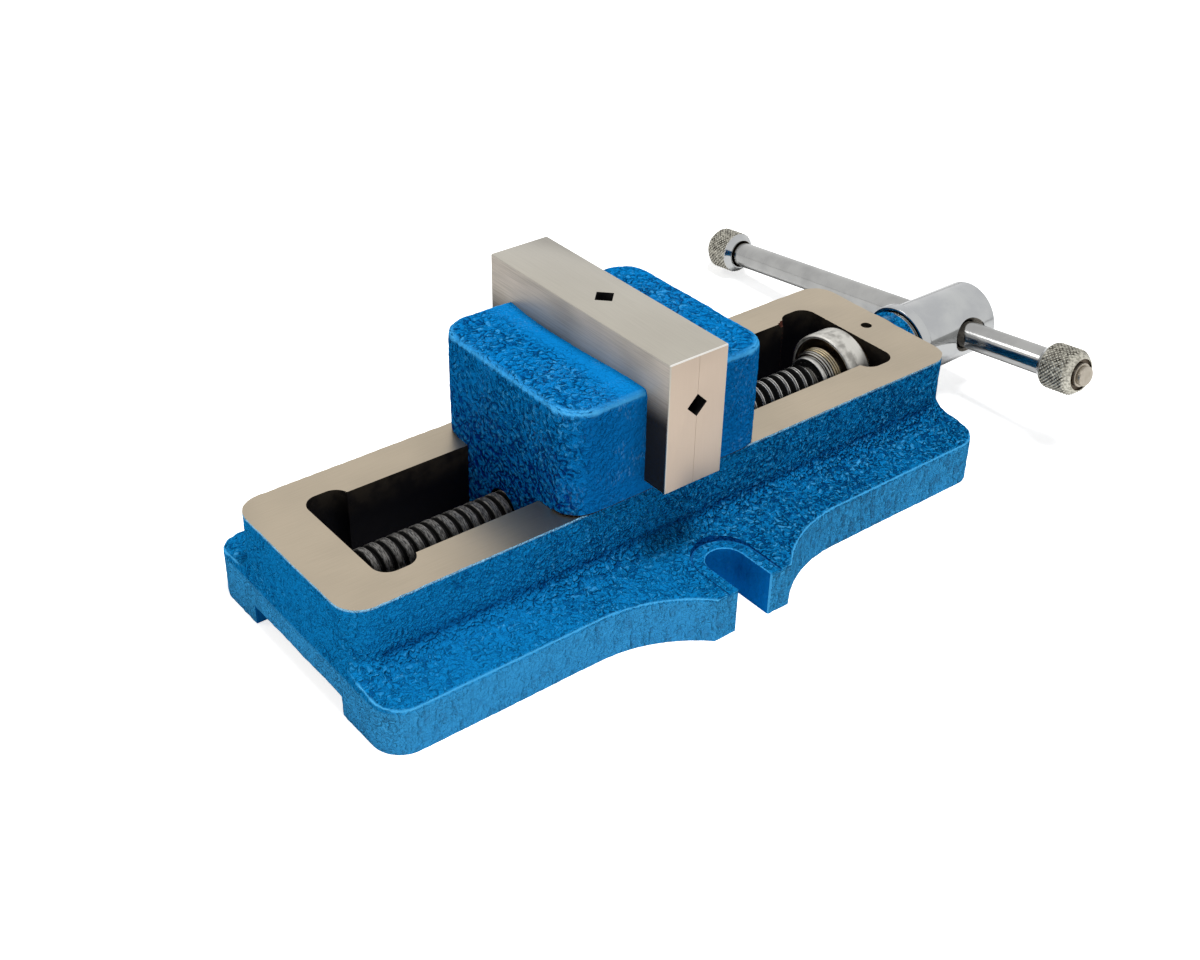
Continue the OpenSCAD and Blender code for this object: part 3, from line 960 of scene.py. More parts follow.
@dataclass(frozen=True)
class SatinChrome:
    """Chrome plate with faint smears and hairlines."""

    name: str
    tone: Colour = (0.505, 0.515, 0.515)
    smeared: Colour = (0.435, 0.445, 0.455)

    def make(self) -> bpy.types.Material:
        """Builds the material.

        Returns:
            The material.
        """
        g = Graph(self.name)
        smear = g.grain(12.0, 3.0)
        hair = g.grain(0.5, 2.0, (6.0, 6.0, 1.0))
        colour = g.mix(g.spread(smear, 0.35, 0.7), self.tone, self.smeared)
        return g.finish(
            Base_Color=colour, Metallic=1.0, Roughness=g.spread(smear, 0.3, 0.7, 0.10, 0.18),
            Normal=g.bump(hair, 0.006),
        )


@dataclass(frozen=True)
class KnurledNickel:
    """Warm nickel whose knurl holds dirt in its grooves."""

    tone: Colour = (0.61, 0.59, 0.51)
    stain: Colour = (0.17, 0.16, 0.13)
    dirt: Colour = (0.022, 0.019, 0.014)
    groove: ClassVar[str] = "knurl_groove"

    def make(self) -> bpy.types.Material:
        """Builds the material.

        Returns:
            The material.
        """
        g = Graph("knurled_nickel")
        groove = g.spread(g.stored(self.groove), 0.12, 0.55, 0.0, 1.0)
        patch = g.spread(g.grain(2.0, 2.0), 0.35, 0.65, 0.30, 0.95)
        specks = g.spread(g.grain(1.1, 2.0), 0.42, 0.60, 0.0, 0.6)
        colour = g.mix(specks, self.tone, self.stain)
        colour = g.mix(g.times(groove, patch), colour, self.dirt)
        grit = g.grain(0.6)
        return g.finish(
            Base_Color=colour, Metallic=1.0, Roughness=g.spread(grit, 0.3, 0.7, 0.36, 0.52),
            Normal=g.bump(grit, 0.03),
        )


@dataclass(frozen=True)
class BlackOxide:
    """Blackened steel of screws, pins and keepers."""

    tone: Colour = (0.020, 0.020, 0.022)
    rubbed: Colour = (0.045, 0.043, 0.042)

    def make(self) -> bpy.types.Material:
        """Builds the material.

        Returns:
            The material.
        """
        g = Graph("black_oxide")
        cloud = g.grain(4.0, 3.0)
        colour = g.mix(g.spread(cloud, 0.35, 0.7), self.tone, self.rubbed)
        return g.finish(
            Base_Color=colour, Metallic=0.7, Roughness=g.spread(cloud, 0.3, 0.7, 0.34, 0.5),
            Normal=g.bump(g.grain(0.6), 0.02),
        )


class Finishes:
    """All materials of the vise, made once."""

    def __init__(self, rail: float, jaw_top: float, screw_z: float) -> None:
        """Makes the materials.

        Args:
            rail: Height of the ground top.
            jaw_top: Height of the jaws' castings.
            screw_z: Height of the screw's axis.
        """
        self.enamel = HammeredEnamel(
            "hammered_enamel", lip=rail, soft_x=(-115.0, 110.0), drip_from=-126.0).make()
        self.jaw_enamel = HammeredEnamel(
            "jaw_enamel", highlight_from=0.03, highlight_to=0.085, run_top=0.0, near_y=-40.8, middle_x=17.0,
            lump=2.2, curl=2.6, end_shade_x=43.0, scuff=0.10, edge_light=0.62, mid=(0.0030, 0.178, 0.495)).make()
        self.seat_enamel = HammeredEnamel("seat_enamel", 0.8, 0.0).make()
        # Darker copy of the enamel: painted shade on the slot and channel walls.
        self.slot_shade_enamel = HammeredEnamel(
            "slot_shade_enamel", 0.12, 0.0, mid=(0.0008, 0.115, 0.370), low_bounce_light=0.0).make()
        # Lighter copy of the enamel: painted highlight on the seats' rims and the slots' end bevels.
        self.edge_highlight_enamel = HammeredEnamel("edge_highlight_enamel", 0.2, 0.0, mid=(0.030, 0.280, 0.600)).make()
        # Darker copy of the enamel: painted shade on the seats' walls.
        self.wall_shade_enamel = HammeredEnamel("wall_shade_enamel", 0.3, 0.0, mid=(0.0007, 0.050, 0.190)).make()
        # Darker copy of the enamel: painted shade in the grooves round the seats.
        self.groove_shade_enamel = HammeredEnamel("groove_shade_enamel", 0.3, 0.0, mid=(0.0010, 0.090, 0.310)).make()
        self.ground_top = GroundSteel("ground_top", (40.0, 1.0, 1.0), rough=0.36).make()
        self.ground_plate = GroundSteel(
            "ground_plate", (1.0, 40.0, 1.0), (0.520, 0.490, 0.425), (0.490, 0.460, 0.398)).make()
        self.ground_end = GroundSteel(
            "ground_end", (1.0, 1.0, 40.0), (0.560, 0.455, 0.365), (0.525, 0.425, 0.340), 0.02, 0.0008,
            0.55, 0.34).make()
        # The plate's back, with painted shade below the jaw's top.
        self.ground_back = GroundSteel(
            "ground_back", (1.0, 40.0, 1.0), (0.530, 0.475, 0.410), (0.360, 0.325, 0.280), 0.22, 0.006,
            0.45, 0.38, jaw_top).make()
        # Pale copy of the ground steel: painted highlight on the plates' top edges.
        self.edge_highlight_steel = GroundSteel(
            "edge_highlight_steel", (40.0, 1.0, 1.0), (0.900, 0.880, 0.840), (0.820, 0.800, 0.760)).make()
        self.milled = MilledIron("milled_iron", rail).make()
        self.broken = MilledIron(
            "broken_iron", rail, 30.0, (0.012, 0.006, 0.005), (0.060, 0.020, 0.014)).make()
        # A shaded copy for the plain-end thread, in the slot's shadow, and a lit copy with painted corner
        # highlights for the handle-end thread.
        self.shaded_thread = ThreadSteel(
            "shaded_thread", screw_z, ScrewAssembly.plain_r, (0.30, 0.29, 0.275), (0.18, 0.175, 0.165),
            rough=0.6, streak=0.85).make()
        self.lit_thread = ThreadSteel(
            "lit_thread", screw_z, ScrewAssembly.handle_r, (0.86, 0.85, 0.82), (0.12, 0.12, 0.12),
            0.30).make()
        self.gilded = TurnedMetal("gilded_rings", (0.62, 0.52, 0.34), (0.42, 0.38, 0.32), 0.8).make()
        self.ring_steel = ThreadSteel(
            "ring_steel", screw_z, ScrewAssembly.shoulder_r, (0.66, 0.65, 0.62), (0.60, 0.59, 0.56)).make()
        self.collar = TurnedMetal("collar_steel", (0.66, 0.645, 0.60), (0.22, 0.21, 0.19), 0.7, 0.42).make()
        self.turned = TurnedMetal("lathe_steel", (0.49, 0.475, 0.435), (0.27, 0.245, 0.21), 0.45).make()
        # Dark copy of the turned steel: painted shade in recesses and gaps.
        self.recess_shade = TurnedMetal("recess_shade_steel", (0.085, 0.065, 0.045), (0.025, 0.019, 0.013), 0.9).make()
        self.bare_end = TurnedMetal("bare_end", (0.50, 0.455, 0.385), (0.36, 0.31, 0.24), 0.6, 0.42).make()
        self.bronze = TurnedMetal("turned_bronze", (0.56, 0.42, 0.23), (0.30, 0.19, 0.08)).make()
        self.chrome = SatinChrome("satin_chrome").make()
        self.bar_chrome = SatinChrome("bar_chrome", (0.42, 0.42, 0.41), (0.34, 0.34, 0.335)).make()
        # Darker copy of the turned steel: painted shade in the cross hole's countersink.
        self.hub_mouth = TurnedMetal("hub_mouth", (0.27, 0.25, 0.22), (0.12, 0.105, 0.09), 0.7, 0.4).make()
        self.nickel = KnurledNickel().make()
        self.oxide = BlackOxide().make()

    def dress(self, material: bpy.types.Material, *nodes: str) -> None:
        """Puts a material on CAD nodes that keep their shape.

        Args:
            material: The finish.
            nodes: Names of the nodes.
        """
        for node in nodes:
            faced(frame["nodes"][node], material)
            log.info("%s keeps its CAD shape in %s", node, material.name)


@dataclass(frozen=True)
class CastSkin:
    """Turns a raw solid into a casting: soft edges and a pebbled surface."""

    voxel: float = 1.0
    rounds: int = 4
    pebble: float = 2.8
    depth: float = 0.36
    broad: float = 17.0
    ridge_light: float = 0.20
    painted_light: ClassVar[str] = "standout"

    def mark_edges(self, mesh: bpy.types.Mesh, raised: np.ndarray) -> None:
        """Stores with each point how far it stands out, for painted highlights on edges and ridges and
        painted shade in hollows.

        Args:
            mesh: The softened mesh.
            raised: How far each point is raised by a ridge.
        """
        count = len(mesh.vertices)
        place = np.empty(3 * count)
        normal = np.empty(3 * count)
        ends = np.empty(2 * len(mesh.edges), dtype=int)
        mesh.vertices.foreach_get("co", place)
        mesh.vertex_normals.foreach_get("vector", normal)
        mesh.edges.foreach_get("vertices", ends)
        place = place.reshape(-1, 3)
        total = np.zeros((count, 3))
        links = np.zeros(count)
        for a, b in ((ends[0::2], ends[1::2]), (ends[1::2], ends[0::2])):
            np.add.at(total, a, place[b])
            np.add.at(links, a, 1.0)
        apart = place - total / np.maximum(links, 1.0)[:, None]
        out = (apart * normal.reshape(-1, 3)).sum(axis=1) / self.voxel + self.ridge_light * raised
        mesh.attributes.new(self.painted_light, "FLOAT", "POINT").data.foreach_set("value", out)

    def apply(self, piece: Piece, ridge: Callable[[Vector], float] | None = None) -> Piece:
        """Softens and roughens a piece.

        Args:
            piece: The raw solid, oversize where it is machined later.
            ridge: How far the surface is raised at a point, beside its pebbles.

        Returns:
            The piece.
        """
        skin = piece.modifiers.new("skin", "REMESH")
        skin.mode = "VOXEL"
        skin.voxel_size = self.voxel
        soft = piece.modifiers.new("soft", "SMOOTH")
        soft.factor = 0.5
        soft.iterations = self.rounds
        settle(piece)
        mesh = piece.data
        raised = np.array([ridge(vertex.co) if ridge else 0.0 for vertex in mesh.vertices])
        self.mark_edges(mesh, raised)
        normals = [Vector(n.vector) for n in mesh.vertex_normals]
        for vertex, normal, rise in zip(mesh.vertices, normals, raised.tolist()):
            here = vertex.co / self.pebble
            lumps = noise.noise(here) + 0.6 * noise.noise(here * 2.1)
            swell = noise.noise(vertex.co / self.broad)
            sunk = self.depth * max(0.05, 0.7 - 0.5 * lumps + 0.4 * swell)
            vertex.co -= normal * (sunk - rise)
        return piece


# Sub-assemblies


@dataclass
class BaseAssembly:
    """Cast base with ground top, guideway, foot flange and bolt lugs."""

    finishes: Finishes
    screw_z: float
    body_w: float = 76.0
    body_corner: float = 10.0
    flange_w: float = 117.0
    flange_corner: float = 11.0
    edge_h: float = 18.5
    root_h: float = 21.0
    fillet: float = 7.0
    lug_x: float = 10.5
    lug_len: float = 35.0
    sweep: float = 54.0
    bolt_w: float = 15.0
    bolt_depth: float = 23.0
    seat_margin: float = 5.0
    seat_h: float = 17.9
    seat_draft: float = 0.2
    seat_rise: float = 3.0
    seat_line: float = 0.7
    channel_w: float = 58.5
    channel_h: float = 8.0
    slot_w: float = 43.0
    pocket_w: float = 52.0
    pocket_len: float = 16.0
    pocket_r: float = 6.0
    plain_wall: float = -109.0
    handle_wall: float = 127.0
    boss_len: float = 8.0
    boss_r: float = 15.5
    oil_hole: float = 4.5
    oil_mouth: float = 0.15
    deburr: float = 0.03
    bolt_edge: float = 0.35
    tip_edge: float = 0.8
    chip: float = 3.4
    teeth: int = 9
    ridge: float = 0.9
    ridge_end: float = 2.0
    washer_lap: float = 1.5
    washer_step: float = 1.2
    washer_gap: float = 0.45
    spare: float = 4.0
    far: float = 12.0

    def __post_init__(self) -> None:
        """Takes the outer sizes from the frame."""
        low, high = mm_box("base_casting")
        self.x0 = low.x
        self.x1 = high.x - self.boss_len
        self.boss_end = high.x
        self.lug_y = high.y
        self.rail = high.z
        self.flange_y = self.flange_w / 2
        self.slope = (self.root_h - self.edge_h) / (self.flange_y - self.body_w / 2)

    def bolt_end(self) -> float:
        """Distance of the bolt slots' round ends from the middle plane."""
        return self.lug_y - self.bolt_depth + self.bolt_w / 2

    def body_outline(self) -> Outline:
        """Plan of the body with its round corners.

        Returns:
            The outline in X and Y.
        """
        r = self.body_corner
        half = self.body_w / 2
        return (
            arc(self.x0 + r, r - half, r, 180, 270) + arc(self.x1 - r, r - half, r, 270, 360)
            + arc(self.x1 - r, half - r, r, 0, 90) + arc(self.x0 + r, half - r, r, 90, 180)
        )

    def foot_outline(self) -> Outline:
        """Plan of the flange with swept lugs.

        Returns:
            The outline in X and Y.
        """
        r = self.flange_corner
        lug_out = self.lug_y - self.flange_y
        rise = self.sweep - lug_out
        run = math.sqrt(self.sweep ** 2 - rise ** 2)
        tip = math.degrees(math.atan2(rise, run))
        left = self.lug_x - self.lug_len / 2 - run
        right = self.lug_x + self.lug_len / 2 + run
        near = (
            arc(self.x0 + r, r - self.flange_y, r, 180, 270)
            + arc(left, -self.flange_y - self.sweep, self.sweep, 90, tip, 16)
            + arc(right, -self.flange_y - self.sweep, self.sweep, 180 - tip, 90, 16)
            + arc(self.x1 - r, r - self.flange_y, r, 270, 360)
        )
        return near + [(x, -y) for x, y in reversed(near)]

    def slope_section(self) -> Outline:
        """Section of the flange with its sloping top.

        Returns:
            The section in Y and Z.
        """
        out = self.lug_y + self.spare
        half = [(out, self.edge_h), (self.flange_y, self.edge_h), (self.body_w / 2, self.root_h)]
        return [(-out, -self.spare), (out, -self.spare)] + half + [(-y, z) for y, z in reversed(half)]

    def fillet_section(self) -> Outline:
        """Section of the fillet, from the body's side out to the foot on the slope.

        Returns:
            Pairs of a distance from the body's side and a height.
        """
        r = self.fillet
        length = math.sqrt(1 + self.slope ** 2)
        top = self.root_h + r * (length - self.slope)
        foot = math.degrees(math.atan2(-1, -self.slope))
        curve = arc(r, top, r, 360 + foot, 180, 10)
        return [(-2.0, self.edge_h), (curve[0][0], self.edge_h)] + curve + [(-2.0, top)]

    def raw_flange(self) -> Piece:
        """Builds the flange with its lugs and fillets.

        Returns:
            The flange.
        """
        far = self.spare
        flange = run_x("base_dressed", self.slope_section(), self.x0 - far, self.x1 + far)
        wall = self.body_w / 2
        start = self.x0 + self.body_corner
        end = self.x1 - self.body_corner
        for side in (-1, 1):
            section = [(side * (wall + y), z) for y, z in self.fillet_section()]
            combine(flange, run_x("fillet", section, start, end), Cut.JOIN)
            for x in (start, end):
                axis = Matrix.Translation((x, side * (wall - self.body_corner), 0))
                ring = [(z, self.body_corner + y) for y, z in self.fillet_section()]
                combine(flange, lathe("corner", ring, axis, True, 48), Cut.JOIN)
        return combine(flange, prism("plan", self.foot_outline(), -far, self.rail), Cut.KEEP)

    def raw(self) -> Piece:
        """Builds the whole raw casting, oversize where it is machined.

        Returns:
            The raw casting.
        """
        raw = self.raw_flange()
        combine(raw, prism("body", self.body_outline(), -self.spare, self.rail + self.spare), Cut.JOIN)
        end = self.boss_end + self.spare
        boss = rod("boss", self.x1 - 5.0, end, self.boss_r, screw_axis(self.screw_z), 64)
        return combine(raw, boss, Cut.JOIN)

    def guideway_outline(self, grow: float) -> Outline:
        """Plan of the slot with its two end pockets.

        Args:
            grow: Width that is added all round.

        Returns:
            The outline in X and Y.
        """
        s = self.slot_w / 2 + grow
        r = self.pocket_r + grow
        cy = self.pocket_w / 2 - self.pocket_r
        cusp = math.degrees(math.asin((s - cy) / r))
        inner = self.pocket_len - self.pocket_r
        plain, handle = self.plain_wall, self.handle_wall
        upper = (
            arc(plain + self.pocket_r, cy, r, 180, 90) + arc(plain + inner, cy, r, 90, cusp)
            + arc(handle - inner, cy, r, 180 - cusp, 90) + arc(handle - self.pocket_r, cy, r, 90, 0)
        )
        return upper + [(x, -y) for x, y in reversed(upper)]

    def bolt_outline(self, side: int, margin: float) -> Outline:
        """Plan of one bolt slot.

        Args:
            side: -1 for the near lug and 1 for the far one.
            margin: Width that is added all round.

        Returns:
            The outline in X and Y.
        """
        r = self.bolt_w / 2 + margin
        out = side * (self.lug_y + self.spare)
        curve = arc(self.lug_x, side * self.bolt_end(), r, 180, 180 + side * 180, 24)
        return curve + [(self.lug_x + r, out), (self.lug_x - r, out)]

    def bolt_tool(self, side: int, levels: list[tuple[float, float]]) -> Piece:
        """Builds what is milled out for one bolt slot, its seat or its rim.

        Args:
            side: -1 for the near lug and 1 for the far one.
            levels: Pairs of a height and the width that is added round the slot there.

        Returns:
            The solid between the lowest and the highest level.
        """
        return stacked("bolt", [(z, self.bolt_outline(side, margin)) for z, margin in levels])

    def seat_groove(self, side: int) -> Piece:
        """Builds the groove that runs round the seat at the foot of its wall.

        Args:
            side: -1 for the near lug and 1 for the far one.

        Returns:
            The solid that is cut away.
        """
        low = self.seat_h - 0.5 * self.seat_line
        high = self.seat_h + 0.5 * self.seat_line
        groove = self.bolt_tool(side, [(low, self.seat_margin), (high, self.seat_margin)])
        inner = self.seat_margin - self.seat_line
        land = self.bolt_tool(side, [(low - 1.0, inner - 0.3), (high + 1.0, inner + 0.3)])
        return combine(groove, land, Cut.TAKE)

    def tip_bevel(self, side: int) -> Piece:
        """Builds the bevel that is filed down the slot's two corners at the lug's end.

        Args:
            side: -1 for the near lug and 1 for the far one.

        Returns:
            The solid that is cut away.
        """
        r = self.bolt_w / 2 - 0.02
        c = self.tip_edge
        inner, outer = side * (self.lug_y - c), side * (self.lug_y + c)
        outline = [
            (self.lug_x - r, inner), (self.lug_x + r, inner),
            (self.lug_x + r + 2 * c, outer), (self.lug_x - r - 2 * c, outer),
        ]
        return prism("tip", outline, -self.spare, self.seat_h + self.seat_rise)

    def broken_cusp(self) -> Piece:
        """Builds what is broken off the slot's edge at the handle-end pocket, and the ragged edge below.

        Returns:
            The solid that is cut away.
        """
        inner = self.pocket_len - self.pocket_r
        s = self.slot_w / 2
        rise = s - (self.pocket_w / 2 - self.pocket_r)
        x = self.handle_wall - inner - math.sqrt(self.pocket_r ** 2 - rise ** 2)
        c = self.chip
        outline = [
            (x - c, s - 0.2), (x - 0.95 * c, s + 0.22 * c), (x - 0.5 * c, s + 0.25 * c),
            (x - 0.3 * c, s + 0.5 * c), (x + 0.5 * c, s + 0.6 * c), (x + 0.6 * c, s - 0.6),
            (x - 0.4 * c, s - 0.5),
        ]
        chip = stacked("chip", [
            (self.rail - 0.55 * c, [(0.45 * px + 0.55 * x, 0.45 * py + 0.55 * s) for px, py in outline]),
            (self.rail + 0.5, outline),
        ])
        levels = (0.4, 1.2), (1.0, 0.5), (0.5, -0.4)
        for i in range(self.teeth):
            size = 0.5 + 0.35 * math.sin(4.1 * i) ** 2
            z = self.rail - 2.0 - 2.1 * i
            corners = [(-size, -0.6), (-size * 0.4, 0.8 * size), (size, 1.1 * size), (size, -0.6)]
            tooth = stacked("tooth", [
                (z - drop, [(x + k * px, s + k * py) for px, py in corners]) for k, drop in levels
            ])
            combine(chip, tooth, Cut.JOIN)
        return faced(chip, self.finishes.broken)

    def fillet_ridge(self, at: Vector) -> float:
        """Raises rough ridges along the foot of the fillet.

        Args:
            at: Point on the casting.

        Returns:
            The rise, which is zero away from the foot.
        """
        across = abs(abs(at.y) - self.body_w / 2 - self.fillet + 0.6) / 2.4
        inside = self.x0 + self.ridge_end < at.x < self.x1 - self.ridge_end
        if across > 1.0 or not inside or not self.edge_h < at.z < self.root_h + 5.0:
            return 0.0
        wave = 1.0 - 2.0 * abs(noise.noise(Vector((at.x / 4.5, at.y / 1.6, at.z / 1.6))))
        patch = max(0.0, 0.60 + 0.8 * noise.noise(Vector((at.x / 13.0, 3.7, 0.0))))
        return self.ridge * (1.0 - across * across) * max(0.0, wave) ** 2 * patch

    def track(self) -> list[Piece]:
        """Builds what is milled out for the jaws: the channel, and the slot with its pockets.

        Returns:
            The channel and the slot.
        """
        start, end = self.x0 - 2 * self.far, self.x1 + 2 * self.far
        half = self.channel_w / 2
        channel = block("channel", (start, -half, -self.far / 2), (end, half, self.channel_h))
        faced(channel, self.finishes.milled)
        # Painted shade on the channel's side walls.
        faced_where(channel, self.finishes.slot_shade_enamel, lambda at: abs(at.y) > half - 0.1)
        brink = self.rail - self.deburr
        levels = (self.channel_h - 2.0, 0.0), (brink, 0.0), (self.rail + 1.0, self.deburr + 1.0)
        slot = stacked("slot", [(z, self.guideway_outline(grow)) for z, grow in levels])
        faced(slot, self.finishes.milled)
        faced_where(slot, self.finishes.ground_top, lambda at: at.z > brink)
        return [channel, slot]

    def bores(self) -> list[Piece]:
        """Builds what is bored for the bushes, faced off the boss and drilled for oil.

        Returns:
            The bores, with the oil hole last.
        """
        axis = screw_axis(self.screw_z)
        plain_low, plain_high = mm_box("plain_bush")
        handle_low, handle_high = mm_box("handle_bush")
        plain_r = (plain_high.y - plain_low.y) / 2
        handle_r = (handle_high.y - handle_low.y) / 2
        r = self.oil_hole / 2
        mouth = self.oil_mouth
        oil_axis = Matrix.Translation(((self.handle_wall + self.x1) / 2, 0, 0))
        oil = [(self.screw_z, r), (self.rail - mouth, r), (self.rail + mouth, r + 2 * mouth)]
        tools = [
            rod("plain", plain_low.x, plain_high.x + 2.0, plain_r, axis),
            rod("handle", handle_low.x - 2.0, handle_high.x + self.far, handle_r, axis),
            rod("face", self.boss_end, self.boss_end + self.far, 2 * self.boss_r, axis, 64),
            lathe("oil", oil, oil_axis, False, 48),
        ]
        for tool in tools:
            faced(tool, self.finishes.milled)
        faced_where(tools[-1], self.finishes.ground_top, lambda at: at.z > self.rail - mouth)
        return tools

    def bolt_cuts(self, side: int) -> list[Piece]:
        """Builds what is milled for one bolt: its sunk seat with rim and line, and the slot with bevels.

        Args:
            side: -1 for the near lug and 1 for the far one.

        Returns:
            The cuts, in the order in which they are made.
        """
        look = self.finishes
        edge = self.bolt_edge
        upper = self.seat_h + self.seat_rise
        wide = self.seat_margin + self.seat_draft * self.seat_rise
        walls = [(self.seat_h, self.seat_margin), (upper, wide), (self.rail - 1.0, wide)]
        seat = self.bolt_tool(side, walls)
        # Painted shade on the seat's wall.
        faced_where(faced(seat, look.seat_enamel), look.wall_shade_enamel, lambda at: at.z > self.seat_h + 0.1)
        rim = self.bolt_tool(side, [(self.seat_h - edge, -0.05), (self.seat_h + edge, 2 * edge)])
        slot = self.bolt_tool(side, [(-self.far / 2, 0.0), (upper, 0.0)])
        # Painted highlight on the rim and the tip bevels; painted shade in the groove and on the slot's
        # walls.
        return [
            seat, faced(rim, look.edge_highlight_enamel), faced(self.seat_groove(side), look.groove_shade_enamel),
            faced(self.tip_bevel(side), look.edge_highlight_enamel), faced(slot, look.slot_shade_enamel),
        ]

    def machining(self) -> Piece:
        """Builds all that is milled, ground and bored away, faced with what it leaves.

        Returns:
            The solid that is cut away.
        """
        start, end = self.x0 - self.far, self.x1 + self.far
        y = self.lug_y
        top = block("top", (start, -y, self.rail), (end, y, self.rail + self.far))
        foot = block("foot", (start, -y - self.far, -self.far), (end, y + self.far, 0.0))
        tools = [faced(top, self.finishes.ground_top), faced(foot, self.finishes.milled)]
        tools += [*self.track(), self.broken_cusp(), *self.bores()]
        for side in (-1, 1):
            tools += self.bolt_cuts(side)
        return joined(*tools)

    def washer(self) -> Piece:
        """Builds the washer outside the boss, with a gap beside the casting.

        Returns:
            The washer.
        """
        low, high = mm_box("outer_washer")
        r = (high.y - low.y) / 2
        bore = -mm_box("handle_bush")[0].y - self.washer_lap
        gap = low.x + self.washer_gap * (high.x - low.x)
        neck = r - self.washer_step
        profile = [(low.x, bore), (low.x, neck), (gap, neck), (gap, r), (high.x, r), (high.x, bore)]
        piece = lathe("outer_washer_dressed", eased(profile, 0.12, True, 2), screw_axis(self.screw_z), True)
        faced(piece, self.finishes.turned)
        # Painted shade on the neck, in the gap beside the casting.
        return faced_where(piece, self.finishes.recess_shade, lambda at: at.x < gap - 0.05)

    def build(self) -> None:
        """Casts, machines and dresses the base, and dresses its bushes and washers."""
        casting = CastSkin().apply(self.raw(), self.fillet_ridge)
        faced(casting, self.finishes.enamel)
        combine(casting, self.machining(), Cut.TAKE)
        hand_in(casting, "base", "cast_paint", "base_casting", sharp=38.0)
        self.finishes.dress(self.finishes.bronze, "plain_bush", "handle_bush", "inner_washer")
        washer = hand_in(self.washer(), "base", "bronze", "outer_washer")
        log.info("%s has a dark gap and a bright rim", washer.name)


def screw_axis(height: float) -> Matrix:
    """Matrix that lays a turned piece along the screw.

    Args:
        height: Height of the screw's axis.

    Returns:
        The matrix, with the screw's axis as its third column.
    """
    return Matrix(((0, 0, 1, 0), (1, 0, 0, 0), (0, 1, 0, height), (0, 0, 0, 1)))


